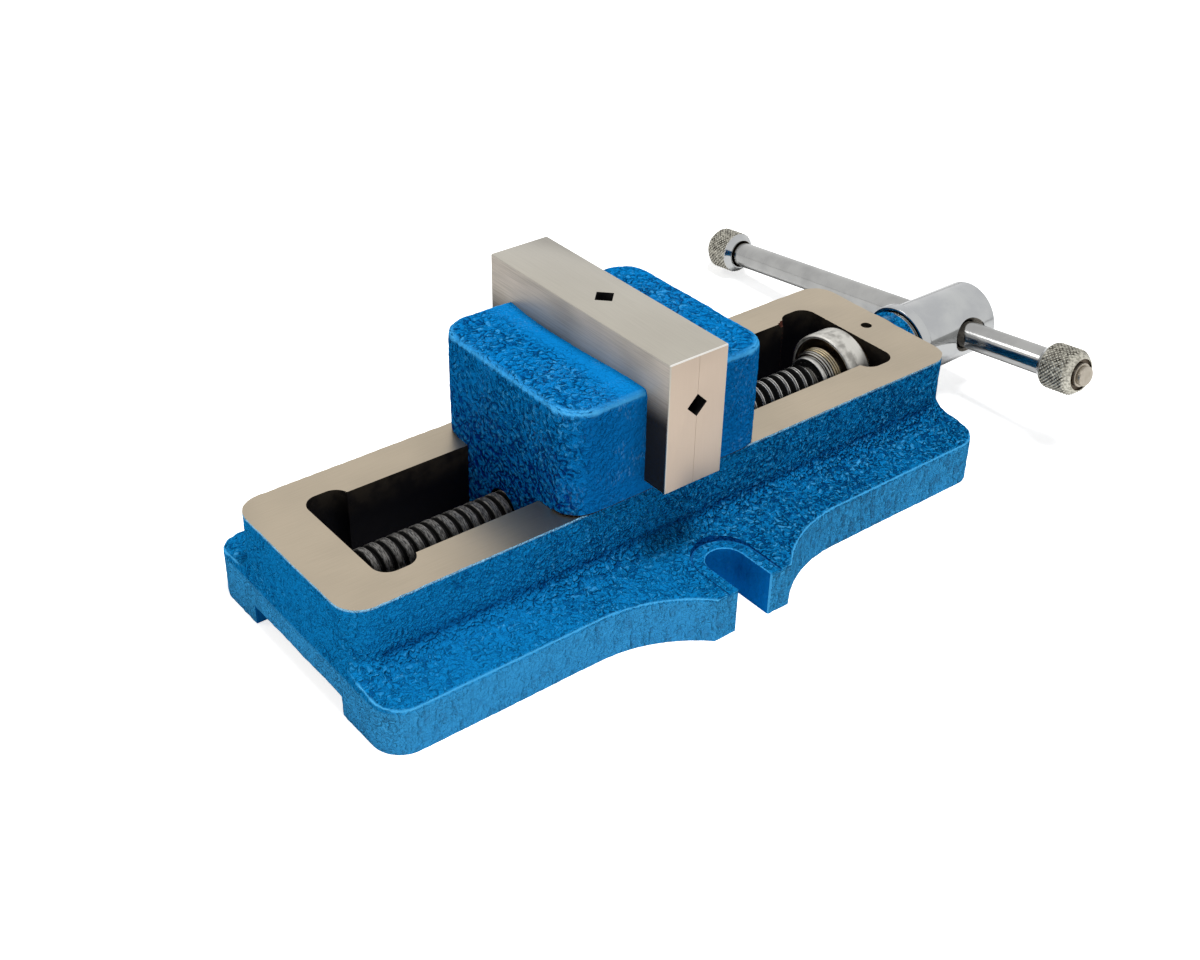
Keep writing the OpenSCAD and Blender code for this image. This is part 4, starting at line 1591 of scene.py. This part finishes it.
@dataclass
class JawAssembly:
    """One jaw: casting, ground plate and the pieces inside, which keep their CAD shape."""

    finishes: Finishes
    side: Side
    screw_z: float
    thread_r: float
    corner: float = 11.0
    edge: float = 2.4
    groove_w: float = 8.6
    groove_drop: float = 19.0
    head_r: float = 6.9
    head_depth: float = 8.6
    shank_r: float = 4.4
    screw_rise: float = 14.0
    screw_span: float = 56.0
    thread_room: float = 1.0
    nut_r: float = 13.0
    plate_edge: float = 0.45
    plate_front: float = 0.004
    foot_gap: float = 0.6
    seam: float = 0.12
    dip: float = 2.0
    dip_w: float = 15.0
    dip_skew: float = 1.8
    dip_bands: int = 8
    dip_steps: int = 24
    tongue_half: float = 21.35
    rail_gap: float = 0.15
    spare: float = 4.0
    lap: float = 3.0
    far: float = 90.0

    def __post_init__(self) -> None:
        """Takes the sizes from the frame; all are those of the handle-end jaw."""
        self.word = self.side.name.lower()
        self.body = self.word + "_slide"
        low, high = mm_box(self.word + "_jaw")
        self.out = max(abs(low.x), abs(high.x))
        self.gap = min(abs(low.x), abs(high.x))
        self.half_w = high.y
        self.foot = low.z
        self.top = high.z
        low, high = mm_box(self.word + "_plate")
        self.plate_back = max(abs(low.x), abs(high.x))
        self.plate_half = high.y
        self.plate_low = low.z
        self.plate_top = high.z
        low, high = mm_box(self.word + "_nut")
        self.nut_end = max(abs(low.x), abs(high.x))
        self.seat = mm_box("base_casting")[1].z + self.rail_gap

    def plan(self, front: float, inset: float = 0.0) -> Outline:
        """Plan of the casting with its two round corners.

        Args:
            front: Station of its straight front.
            inset: How far it is drawn in.

        Returns:
            The outline in X and Y.
        """
        r = self.corner
        half = self.half_w
        return (
            [(front, inset - half)] + arc(self.out - r, r - half, r - inset, 270, 360)
            + arc(self.out - r, half - r, r - inset, 0, 90) + [(front, half - inset)]
        )

    def raw(self) -> Piece:
        """Builds the raw casting of the handle-end jaw, oversize where it is machined.

        Returns:
            The raw casting.
        """
        low = self.seat - self.spare
        raw = prism(self.word + "_jaw_dressed", self.plan(self.plate_back - 2 * self.spare), low, self.top)
        bevelled(raw, self.edge, 5, lambda edge: all(abs(v.co.z - self.top) < TOUCH for v in edge.verts))
        combine(raw, self.scoop(), Cut.TAKE)
        half = self.half_w
        lap = self.lap
        ledge = block("ledge", (-lap, -half, low), (self.plate_back + lap, half, self.plate_low + lap))
        half = self.tongue_half + 2.0
        tongue = block("tongue", (-lap, -half, self.foot - self.spare), (self.out, half, self.seat + 2.0))
        return joined(raw, ledge, tongue)

    def scoop(self) -> Piece:
        """Builds the shallow dip of the casting's top along the plate, deepest towards the far side.

        Returns:
            The solid that is cut away.
        """
        back = self.plate_back
        bands = self.dip_bands
        rings = []
        for i in range(self.dip_steps + 1):
            t = i / self.dip_steps
            depth = 0.02 + self.dip * math.sin(math.pi * t ** self.dip_skew)
            curve = [
                (back + self.dip_w * k / bands, self.top - depth * (1 - k / bands) ** 2)
                for k in range(bands)
            ]
            curve.append((back + self.dip_w, self.top + 0.05))
            section = [(back - 9.0, self.top + 3.0), (back - 9.0, self.top - depth)] + curve
            section.append((back + self.dip_w, self.top + 3.0))
            y = -self.half_w - 1.0 + t * (2 * self.half_w + 2.0)
            rings.append([(x, y, z) for x, z in section])
        return loft("scoop", rings)

    def shadow_gap(self) -> Piece:
        """Builds the narrow rebate that is milled round the casting's foot.

        Returns:
            The solid that is cut away.
        """
        low, high = self.seat - 1.0, self.seat + self.foot_gap
        wide = self.half_w + 2.0
        ring = block("gap", (-9.0, -wide, low), (self.out + 2.0, wide, high))
        combine(ring, prism("inner", self.plan(-10.0, self.foot_gap), low - 1.0, high + 1.0), Cut.TAKE)
        flat = self.half_w - self.corner
        back = block("back", (self.out - self.corner, -flat, low - 2.0), (self.out + 3.0, flat, high + 2.0))
        return combine(ring, back, Cut.TAKE)

    def machining(self) -> Piece:
        """Builds all that is milled and bored away from the casting.

        Returns:
            The solid that is cut away.
        """
        far = self.far
        side = self.tongue_half
        axis = screw_axis(self.screw_z)
        passage = self.thread_r + self.thread_room
        tools = [
            block("plate_seat", (-far, -far, self.plate_low), (self.plate_back, far, 2 * far)),
            block("front", (-2 * far, -1.1 * far, -far), (self.gap, 1.1 * far, 2.1 * far)),
            block("near_rail", (-1.5 * far, -1.2 * far, -1.2 * far), (1.5 * far, -side, self.seat)),
            block("far_rail", (-1.5 * far, side, -1.2 * far), (1.5 * far, 1.2 * far, self.seat)),
            block("under", (-1.6 * far, -1.3 * far, -1.3 * far), (1.6 * far, 1.3 * far, self.foot)),
            rod("nut", -5.0, self.nut_end, self.nut_r, axis),
            rod("passage", -4.0, self.out + 9.0, passage, axis),
            self.shadow_gap(),
        ]
        for tool in tools:
            faced(tool, self.finishes.milled)
        return joined(*tools)

    def seams(self) -> list[Piece]:
        """Builds what is taken off the plate's upright edges, where both plates meet.

        Returns:
            One cut for each end.
        """
        tools = []
        for side in (-1, 1):
            inner = side * (self.plate_half - self.seam)
            outer = side * (self.plate_half + 0.1)
            wedge = [(-1.0, inner), (self.plate_front, inner), (self.seam, outer), (-1.0, outer)]
            tool = prism("seam", wedge, self.plate_low - 1.0, self.plate_top - self.plate_edge)
            tools.append(faced(tool, self.finishes.ground_end))
        return tools

    def grooves(self) -> list[Piece]:
        """Builds what is milled out of the gripping face: a level and an upright V groove.

        Returns:
            The two cuts.
        """
        half = self.groove_w / 2
        level = self.plate_top - self.groove_drop
        reach = self.plate_half + 2.0
        diamond = [(half, 0.0), (0.0, half), (-half, 0.0), (0.0, -half)]
        tools = [
            loft("level", [[(x, y, level + z) for x, z in diamond] for y in (-reach, reach)]),
            prism("upright", diamond, self.plate_low - 2.0, self.plate_top + 2.0),
        ]
        return [faced(tool, self.finishes.oxide) for tool in tools]

    def holes(self) -> list[Piece]:
        """Builds what is bored out for the plate's two socket screws.

        Returns:
            One cut for each screw.
        """
        profile = [
            (-1.0, self.head_r), (self.head_depth, self.head_r),
            (self.head_depth, self.shank_r), (20.0, self.shank_r),
        ]
        row = screw_axis(self.plate_low + self.screw_rise)
        spots = [row @ Matrix.Translation((side * self.screw_span / 2, 0, 0)) for side in (-1, 1)]
        return [faced(lathe("hole", profile, spot, False, 64), self.finishes.milled) for spot in spots]

    def plate(self) -> Piece:
        """Builds the ground plate with its V grooves and counterbored holes.

        Returns:
            The plate.
        """
        low = (self.plate_front, -self.plate_half, self.plate_low)
        plate = block(self.word + "_plate_dressed", low, (self.plate_back, self.plate_half, self.plate_top))
        behind = self.plate_front + 1.0
        bevelled(plate, self.plate_edge, 2, lambda edge: any(v.co.x > behind for v in edge.verts))
        look = self.finishes
        brink = self.plate_top - self.plate_edge
        rim = self.plate_half - self.plate_edge
        end = self.plate_half - 0.01
        faced(plate, look.ground_plate)
        faced_where(plate, look.ground_end, lambda at: abs(at.y) > end)
        faced_where(plate, look.ground_back, lambda at: at.x > self.plate_back - 0.01)
        # Painted highlight along the top edges of both ends.
        faced_where(plate, look.edge_highlight_steel, lambda at: at.z > brink and rim < abs(at.y) < end)
        for tool in self.seams() + self.grooves() + self.holes():
            combine(plate, tool, Cut.TAKE)
        return plate

    def build(self) -> None:
        """Casts, machines and dresses the jaw and its plate, and dresses the pieces inside."""
        casting = CastSkin(voxel=0.9, rounds=2).apply(self.raw())
        faced(casting, self.finishes.jaw_enamel)
        combine(casting, self.machining(), Cut.TAKE)
        plate = self.plate()
        if self.side is Side.LEFT:
            mirrored_x(casting)
            mirrored_x(plate)
        hand_in(casting, self.body, "cast_paint", self.word + "_jaw", sharp=38.0)
        hand_in(plate, self.body, "ground_steel", self.word + "_plate")
        self.finishes.dress(self.finishes.bronze, self.word + "_nut")
        inner = ("plate_screws", "nut_pin", "keeper", "keeper_screws")
        self.finishes.dress(self.finishes.oxide, *(f"{self.word}_{name}" for name in inner))


@dataclass(frozen=True)
class Thread:
    """One helical thread: its reach, radii, profile and hand."""

    start: float
    end: float
    crest_r: float
    root_r: float
    crest_share: float
    flank_share: float
    hand: Side
    pitch: float = 4.5
    corner: float = 0.25
    hollow: float = 0.16
    segments: int = 72

    def solid(self, name: str, axis: Matrix) -> Piece:
        """Winds the thread.

        Args:
            name: Name of the new object.
            axis: Matrix whose third column is the screw's axis.

        Returns:
            The thread as a closed solid with bevelled ends.
        """
        c = self.corner
        profile = [
            (0.0, self.crest_r - c), (c / self.pitch, self.crest_r),
            (2 * c / self.pitch, self.crest_r - self.hollow),
            (self.crest_share - 2 * c / self.pitch, self.crest_r - self.hollow),
            (self.crest_share - c / self.pitch, self.crest_r), (self.crest_share, self.crest_r - c),
            (self.crest_share + self.flank_share, self.root_r), (1.0 - self.flank_share, self.root_r),
        ]
        turns = math.ceil((self.end - self.start) / self.pitch) + 3
        base = self.start - 2 * self.pitch
        columns = [(base + (k + at) * self.pitch, r) for k in range(turns) for at, r in profile]
        points = []
        for s, r in columns:
            for j in range(self.segments):
                a = 2 * math.pi * j / self.segments
                along = s + self.hand.value * -1 * self.pitch * j / self.segments
                points.append(axis @ Vector((r * math.cos(a), r * math.sin(a), along)))
        step = len(profile) * self.hand.value * -1
        faces = []
        for c in range(len(columns) - 1):
            for j in range(self.segments):
                wrap = step if j == self.segments - 1 else 0
                k = (j + 1) % self.segments
                if 0 <= c + wrap and c + 1 + wrap < len(columns):
                    quad = [(c, j), (c + wrap, k), (c + 1 + wrap, k), (c + 1, j)]
                    faces.append(tuple(col * self.segments + seg for col, seg in quad))
        wound = solid(name, points, faces)
        with edited(wound.data) as bm:
            bmesh.ops.delete(bm, geom=[v for v in bm.verts if not v.link_faces], context="VERTS")
            bmesh.ops.holes_fill(bm, edges=[e for e in bm.edges if e.is_boundary], sides=0)
            bmesh.ops.recalc_face_normals(bm, faces=bm.faces)
        bevel = self.crest_r - self.root_r
        room = self.crest_r + 0.5
        envelope = [
            (self.start, room - bevel), (self.start + bevel, room),
            (self.end - bevel, room), (self.end, room - bevel),
        ]
        return combine(wound, lathe("envelope", envelope, axis), Cut.KEEP)


@dataclass
class ScrewAssembly:
    """Lead screw with two threads of opposite hand, its jam nut, collar and hub."""

    finishes: Finishes
    screw_z: float
    bar_axis: Matrix
    plain_r: float = 7.2
    plain_depth: float = 1.7
    plain_crest: float = 0.56
    handle_r: float = 8.45
    handle_depth: float = 2.1
    handle_crest: float = 0.42
    flank: float = 0.12
    core_gap: float = 0.3
    neck_r: float = 5.6
    neck_half: float = 4.0
    plain_journal_r: float = 6.0
    journal_r: float = 10.6
    seat_r: float = 10.4
    shoulder_r: float = 10.2
    shoulder_len: float = 2.5
    ring_gap: float = 0.35
    runout_r: float = 6.5
    runout_len: float = 2.0
    tail_r: float = 9.0
    lead_in: float = 2.0
    ring_count: int = 5
    ring_groove: float = 0.45
    collar_line: float = 0.4
    hub_r: float = 15.3
    hub_flange_len: float = 5.0
    hub_groove: float = 0.5
    bar_hole_r: float = 6.25
    mouth: float = 2.6
    mouth_depth: float = 2.6

    def __post_init__(self) -> None:
        """Takes the stations along the screw from the frame."""
        self.axis = screw_axis(self.screw_z)
        low, high = mm_box("lead_screw")
        self.start = low.x
        self.tail_end = high.x
        self.thread_start = mm_box("plain_bush")[1].x + self.lead_in
        self.jam = mm_box("jam_nut")
        self.collar = mm_box("thrust_collar")
        self.hub = mm_box("hub")
        self.shoulder = self.jam[0].x - self.shoulder_len
        self.thread_end = self.shoulder - self.runout_len

    def screw(self) -> Piece:
        """Builds the screw: shaft and both threads in one solid.

        Returns:
            The screw.
        """
        plain = Thread(
            self.thread_start, -self.neck_half, self.plain_r, self.plain_r - self.plain_depth,
            self.plain_crest, self.flank, Side.LEFT, hollow=0.04)
        handle = Thread(
            self.neck_half, self.thread_end, self.handle_r, self.handle_r - self.handle_depth,
            self.handle_crest, self.flank, Side.RIGHT, corner=0.36)
        plain_core = plain.root_r - self.core_gap
        handle_core = handle.root_r - self.core_gap
        first = self.thread_start + 0.5
        neck = self.neck_half + 1.0
        last = self.thread_end - 1.0
        jam = self.jam[0].x
        gap = jam - self.ring_gap
        gap_r = self.runout_r + 1.0
        profile = [
            (self.start, self.plain_journal_r - 0.8), (self.start + 0.8, self.plain_journal_r),
            (first, self.plain_journal_r), (first, plain_core), (-neck, plain_core), (-neck, self.neck_r),
            (neck, self.neck_r), (neck, handle_core), (last, handle_core), (last, self.runout_r),
            (self.shoulder, self.runout_r), (self.shoulder, self.shoulder_r),
            (gap, self.shoulder_r), (gap, gap_r), (jam, gap_r), (jam, self.seat_r),
            (self.collar[1].x, self.seat_r), (self.collar[1].x, self.journal_r),
            (self.hub[0].x, self.journal_r), (self.hub[0].x, self.tail_r), (self.tail_end, self.tail_r),
        ]
        shaft = faced(lathe("lead_screw_dressed", eased(profile, 0.35), self.axis), self.finishes.turned)
        faced_where(shaft, self.finishes.ring_steel, lambda at: self.shoulder - 0.2 < at.x < jam + 0.1)
        # The plain-end thread takes the shaded copy of the thread steel, the handle-end thread the lit copy.
        left = faced(plain.solid("plain_thread", self.axis), self.finishes.shaded_thread)
        right = faced(handle.solid("handle_thread", self.axis), self.finishes.lit_thread)
        return joined(shaft, left, right)

    def jam_nut(self) -> Piece:
        """Builds the jam nut with rounded rings turned in its rim.

        Returns:
            The nut.
        """
        low, high = self.jam
        r = (high.y - low.y) / 2
        count = self.ring_count
        pitch = (high.x - low.x) / count
        profile = [(low.x, self.seat_r), (low.x, r - 1.7)]
        for i in range(count):
            top = r - 1.1 * (1 - i / (count - 1)) ** 1.5
            foot = top - self.ring_groove
            ring = (0.1, foot), (0.3, top), (0.75, top), (0.95, foot)
            profile += [(low.x + (i + share) * pitch, height) for share, height in ring]
        profile += [(high.x, r - 0.5), (high.x, self.seat_r)]
        nut = lathe("jam_nut_dressed", eased(profile, 0.12, True, 2), self.axis, True)
        faced(nut, self.finishes.gilded)
        faced_where(nut, self.finishes.turned, lambda at: at.x < low.x + 1.9 * pitch)
        # Painted shade in the grooves between the rings.
        return faced_where(
            nut, self.finishes.recess_shade, lambda at: not 0.16 < (at.x - low.x) / pitch % 1.0 < 0.86)

    def thrust_collar(self) -> Piece:
        """Builds the collar with a bright rim round a sunk face.

        Returns:
            The collar.
        """
        low, high = self.collar
        r = (high.y - low.y) / 2
        line = low.x + self.collar_line * (high.x - low.x)
        profile = [
            (low.x + 1.4, self.seat_r), (low.x + 1.4, r - 1.9), (low.x, r - 1.6),
            (low.x, r - 0.7), (low.x + 0.7, r), (line - 0.3, r), (line, r - 0.12), (line + 0.3, r),
            (high.x - 0.8, r), (high.x, r - 0.8), (high.x, self.seat_r),
        ]
        collar = lathe("thrust_collar_dressed", eased(profile, 0.2, True), self.axis, True)
        faced(collar, self.finishes.collar)
        # Painted shade on the sunk face.
        return faced_where(collar, self.finishes.recess_shade, lambda at: low.x + 0.2 < at.x < low.x + 1.6 and (
            math.hypot(at.y, at.z - self.screw_z) < r - 1.4))

    def hub_piece(self) -> Piece:
        """Builds the hub with flange, groove line and cross hole.

        Returns:
            The hub.
        """
        low, high = self.hub
        flange_r = (high.y - low.y) / 2
        step = low.x + self.hub_flange_len
        neck_r = self.hub_r - self.hub_groove
        profile = [
            (low.x, self.tail_r + 2.0), (low.x, flange_r), (step, flange_r), (step, neck_r),
            (step + 0.7, neck_r), (step + 0.7, self.hub_r), (high.x, self.hub_r), (high.x, 1.0),
        ]
        hub = faced(lathe("hub_dressed", eased(profile, 0.9, False, 5), self.axis), self.finishes.chrome)
        reach = self.hub_r + 4.0
        wide = self.bar_hole_r + self.mouth
        lip = self.hub_r - 0.3
        edge = lip - 0.3
        foot = lip - self.mouth_depth
        half = [(reach, wide), (lip, wide), (edge, wide - 0.45), (foot, self.bar_hole_r)]
        hole = [(-s, r) for s, r in half] + half[::-1]
        tool = faced(lathe("hole", hole, self.bar_axis, False, 96), self.finishes.oxide)
        back = self.bar_axis.inverted()
        # Painted shade on the countersink.
        faced_where(tool, self.finishes.hub_mouth, lambda at: foot < abs((back @ at).z) < edge)
        return combine(hub, tool, Cut.TAKE)

    def build(self) -> None:
        """Builds and dresses what turns with the screw."""
        hand_in(self.screw(), "screw", "screw_steel", "lead_screw")
        hand_in(self.jam_nut(), "screw", "bronze", "jam_nut")
        hand_in(self.thrust_collar(), "screw", "turned_steel", "thrust_collar")
        hand_in(self.hub_piece(), "screw", "chrome", "hub", sharp=32.0)
        self.finishes.dress(self.finishes.turned, "hub_pin")


@dataclass
class HandleAssembly:
    """Sliding bar with a knurled knob on each end."""

    finishes: Finishes
    bar_axis: Matrix
    length: float = 220.5
    middle: float = 36.0
    bar_r: float = 5.75
    spigot_r: float = 4.6
    tip_r: float = 4.1
    tip_len: float = 1.9
    tip_inset: float = 0.08
    stub_r: float = 4.9
    recess_r: float = 6.5
    tip_groove: float = 0.35
    stub: float = 2.8
    knob_r: float = 9.5
    knob_len: float = 16.5
    bevel: float = 3.0
    face_share: float = 0.8
    seat_depth: float = 1.0
    knurl_count: int = 36
    knurl_pitch: float = 1.75
    knurl_depth: float = 0.42
    knurl_over: float = 2.0
    knurl_end: float = 0.5
    knurl_rows: int = 60
    flare_steps: int = 9
    knob_segments: int = 288

    def bar(self) -> Piece:
        """Builds the bar with its turned ends.

        Returns:
            The bar.
        """
        start = self.middle - self.length / 2
        end = self.middle + self.length / 2
        seat = self.stub + self.knob_len - self.seat_depth
        groove = start + self.tip_len + self.tip_groove
        floor = start + self.stub + self.seat_depth
        tip = start + self.tip_inset
        half = [
            (tip, self.tip_r - 0.35), (tip + 0.35, self.tip_r), (start + self.tip_len, self.tip_r),
            (start + self.tip_len, self.tip_r - 0.5), (groove, self.tip_r - 0.5), (groove, self.stub_r),
            (floor - 0.1, self.stub_r), (floor - 0.1, self.spigot_r),
            (start + seat, self.spigot_r), (start + seat, self.bar_r),
        ]
        profile = half + [(start + end - s, r) for s, r in reversed(half)]
        bar = lathe("handle_bar_dressed", eased(profile, 0.15), self.bar_axis, False, 96)
        faced(bar, self.finishes.bar_chrome)
        reach = self.length / 2 - seat
        along = self.bar_axis.to_3x3().transposed()
        middle = self.bar_axis.translation
        return faced_where(bar, self.finishes.bare_end,
                           lambda at: abs((along @ (at - middle)).z - self.middle) > reach + 0.5)

    def knurl(self, turn: float, along: float) -> float:
        """Height of the knurl.

        Args:
            turn: Angle round the knob, in turns.
            along: Distance along the knob.

        Returns:
            The height from 0 in a groove to 1 on a point.
        """
        a = turn * self.knurl_count
        b = along / self.knurl_pitch
        first = 2 * abs((a + b) % 1.0 - 0.5)
        second = 2 * abs((a - b) % 1.0 - 0.5)
        return min(1.0, 1.3 * min(first, 0.2 + second))

    def knob_profile(self) -> Outline:
        """Lists the profile of a knob, which is a loop.

        Returns:
            Pairs of a station and a radius, from the inner end to the outer.
        """
        slope = self.bevel * self.face_share
        face_r = self.knob_r - slope
        steps = self.flare_steps
        flare = [(self.bevel * k / steps, face_r + slope * k / steps) for k in range(1, steps)]
        head = eased([
            (self.seat_depth, self.bar_r + 0.02), (0.0, self.bar_r + 0.5), (0.0, face_r), flare[0],
        ], 0.25)
        ridge = self.knob_len - 2 * self.bevel
        rows = self.knurl_rows
        body = [(self.bevel + ridge * i / rows, self.knob_r) for i in range(rows + 1)]
        floor = self.knob_len - self.seat_depth
        foot = eased([
            (self.knob_len - flare[0][0], flare[0][1]), (self.knob_len, face_r),
            (self.knob_len, self.recess_r), (floor, self.recess_r), (floor, self.spigot_r + 0.02),
        ], 0.2)
        return head + flare[1:] + body + [(self.knob_len - s, r) for s, r in reversed(flare[1:])] + foot

    def knob(self, name: str, axis: Matrix) -> Piece:
        """Builds a knob, its inner end at zero and its outer end at its length.

        Args:
            name: Name of the new object.
            axis: Matrix whose third column is its axis.

        Returns:
            The knob.
        """
        rings = []
        grooves = []
        for s, r in self.knob_profile():
            inner = max(0.0, self.bevel - s) / self.knurl_end
            outer = max(0.0, s - self.knob_len + self.bevel) / self.knurl_over
            fade = max(0.0, 1.0 - inner - outer)
            ring = []
            for j in range(self.knob_segments):
                turn = j / self.knob_segments
                groove = fade * (1.0 - self.knurl(turn, s))
                grooves.append(groove)
                here = r - self.knurl_depth * groove
                a = 2 * math.pi * turn
                ring.append(axis @ Vector((here * math.cos(a), here * math.sin(a), s)))
            rings.append(ring)
        knob = faced(loft(name, rings, True), self.finishes.nickel)
        knob.data.attributes.new(KnurledNickel.groove, "FLOAT", "POINT").data.foreach_set("value", grooves)
        back = axis.inverted()

        def sunk_seat(at: Vector) -> bool:
            """Tells whether a point is in the recess round the bar."""
            here = back @ at
            return math.hypot(here.x, here.y) < self.recess_r + 0.05

        faced_where(knob, self.finishes.chrome, lambda at: (back @ at).z < self.bevel - self.knurl_end)
        # Painted shade in the recess round the bar.
        return faced_where(knob, self.finishes.recess_shade, sunk_seat)

    def build(self) -> None:
        """Builds and dresses the bar and both knobs."""
        start = self.middle - self.length / 2 + self.stub + self.knob_len
        end = self.middle + self.length / 2 - self.stub - self.knob_len
        flip = Matrix.Translation((0, 0, start)) @ Matrix.Rotation(math.pi, 4, "X")
        hand_in(self.bar(), "handle", "chrome", "handle_bar")
        hand_in(self.knob("near_knob_dressed", self.bar_axis @ flip), "handle", "knurled_steel", "near_knob")
        far = Matrix.Translation((0, 0, end))
        hand_in(self.knob("far_knob_dressed", self.bar_axis @ far), "handle", "knurled_steel", "far_knob")


# Studio


def direct_ray(tree: bpy.types.NodeTree, *names: str) -> Socket:
    """Adds a test for rays that show the background.

    Args:
        tree: Node tree of a world or of a material.
        names: Rays to test for: to the camera, off metal or through glass.

    Returns:
        A socket that is 1 for such rays and 0 for others.
    """
    path = tree.nodes.new("ShaderNodeLightPath")
    rays = [path.outputs[f"Is {name} Ray"] for name in names]
    total = rays[0]
    for ray in rays[1:]:
        larger = tree.nodes.new("ShaderNodeMath")
        larger.operation = "MAXIMUM"
        tree.links.new(total, larger.inputs[0])
        tree.links.new(ray, larger.inputs[1])
        total = larger.outputs[0]
    return total


@dataclass
class Studio:
    """White floor, soft lamps, pale world and the camera."""

    eye: tuple[float, float, float] = (-311.6, -386.4, 359.1)
    target: tuple[float, float, float] = (-5.07, -6.17, 30.0)
    roll: float = 1.3
    focal_px: float = 1622.78
    image_w: float = 1200.0
    sensor: float = 36.0
    floor_half: float = 3.0
    floor_near: float = 0.5
    floor_glow: float = 0.7
    shade_half: float = 0.030
    shade_edge: float = 0.012
    ambient: float = 0.205

    def camera(self) -> None:
        """Puts the camera where the photograph was taken from."""
        data = bpy.data.cameras.new("camera")
        data.sensor_width = self.sensor
        data.lens = self.focal_px / self.image_w * self.sensor
        data.clip_start = 0.01
        made = bpy.data.objects.new("camera", data)
        eye = Vector(self.eye) * MM
        look = (Vector(self.target) * MM - eye).to_track_quat("-Z", "Y").to_matrix().to_4x4()
        made.matrix_world = Matrix.Translation(eye) @ look @ Matrix.Rotation(math.radians(self.roll), 4, "Z")
        bpy.context.scene.collection.objects.link(made)
        bpy.context.scene.camera = made

    def floor(self) -> None:
        """Lays the pale floor under the feet."""
        h = self.floor_half
        mesh = bpy.data.meshes.new("floor")
        mesh.from_pydata([(-h, -h, 0), (h, -h, 0), (h, h, 0), (-h, h, 0)], [], [(0, 1, 2, 3)])
        made = bpy.data.objects.new("floor", mesh)
        bpy.context.scene.collection.objects.link(made)
        g = Graph("floor")
        pale = g.mix(g.grain(400.0), (0.90, 0.90, 0.90), (0.92, 0.92, 0.92))
        level = g.spread(g.distance(g.place), self.floor_near, self.floor_half, self.floor_glow, 1.0)
        low, high = (corner * MM for corner in mm_box("base_casting"))
        along = g.unsigned(g.sums("SUBTRACT", g.part("X"), (low.x + high.x) / 2))
        across = g.unsigned(g.part("Y"))
        half = (high.x - low.x) / 2
        shade = g.sums(
            "MAXIMUM", g.spread(along, half - 2 * self.shade_edge, half - self.shade_edge),
            g.spread(across, self.shade_half, self.shade_half + self.shade_edge))
        glow = g.times(direct_ray(g.tree, "Camera", "Transmission"), g.times(level, shade))
        material = g.finish(
            Base_Color=pale, Roughness=0.9, Specular_IOR_Level=0.0,
            Emission_Color=(1.0, 1.0, 1.0), Emission_Strength=glow,
        )
        made.data.materials.append(material)

    def lamp(self, name: str, place: tuple, size: float, watts: float, mirrored: bool = False) -> None:
        """Hangs a square soft lamp that looks at the vise.

        Args:
            name: Name of the lamp.
            place: Where it hangs, in metres.
            size: Side of the square, in metres.
            watts: Its power.
            mirrored: Bright metal mirrors the lamp itself.
        """
        data = bpy.data.lights.new(name, "AREA")
        data.size = size
        data.energy = watts
        made = bpy.data.objects.new(name, data)
        made.location = place
        made.visible_glossy = mirrored
        made.rotation_euler = (Vector((0, 0, 0.04)) - Vector(place)).to_track_quat("-Z", "Y").to_euler()
        bpy.context.scene.collection.objects.link(made)

    def world(self) -> None:
        """Sets a pale sky that is white where the camera looks past the floor."""
        world = bpy.data.worlds.new("studio")
        bpy.context.scene.world = world
        world.use_nodes = True
        tree = world.node_tree
        sky = tree.nodes["Background"]
        sky.inputs["Color"].default_value = (1.0, 1.0, 1.0, 1.0)
        power = tree.nodes.new("ShaderNodeMapRange")
        power.inputs["To Min"].default_value = self.ambient
        power.inputs["To Max"].default_value = 1.0
        tree.links.new(direct_ray(tree, "Camera", "Glossy", "Transmission"), power.inputs["Value"])
        tree.links.new(power.outputs["Result"], sky.inputs["Strength"])

    def build(self) -> None:
        """Sets up the studio."""
        bpy.context.scene.view_settings.view_transform = "Standard"
        self.camera()
        self.floor()
        self.world()
        self.lamp("key", (0.05, -0.24, 1.22), 0.4, 16.5)
        self.lamp("fill", (-1.0, -0.46, 0.15), 0.6, 4.2)
        self.lamp("rim", (-0.62, 0.55, 0.86), 0.3, 1.5, True)
        log.info("studio is set")


def main() -> None:
    """Builds the studio and each sub-assembly in order."""
    logging.basicConfig(level=logging.INFO, format="%(name)s: %(message)s")
    joints = {joint["name"]: joint for joint in frame["joints"]}
    screw_z = joints["screw_turn"]["pos_m"][2] / MM
    along = Vector(joints["handle_slide"]["axis"])
    low, high = mm_box("handle_bar")
    right = Vector((1, 0, 0))
    up = along.cross(right)
    bar_axis = Matrix((right, up, along)).transposed().to_4x4()
    bar_axis.translation = ((low.x + high.x) / 2, 0, screw_z)
    finishes = Finishes(mm_box("base_casting")[1].z, mm_box("left_jaw")[1].z, screw_z)
    Studio().build()
    BaseAssembly(finishes, screw_z).build()
    JawAssembly(finishes, Side.LEFT, screw_z, ScrewAssembly.plain_r).build()
    JawAssembly(finishes, Side.RIGHT, screw_z, ScrewAssembly.handle_r).build()
    ScrewAssembly(finishes, screw_z, bar_axis).build()
    HandleAssembly(finishes, bar_axis).build()


if __name__ == "__main__":
    main()
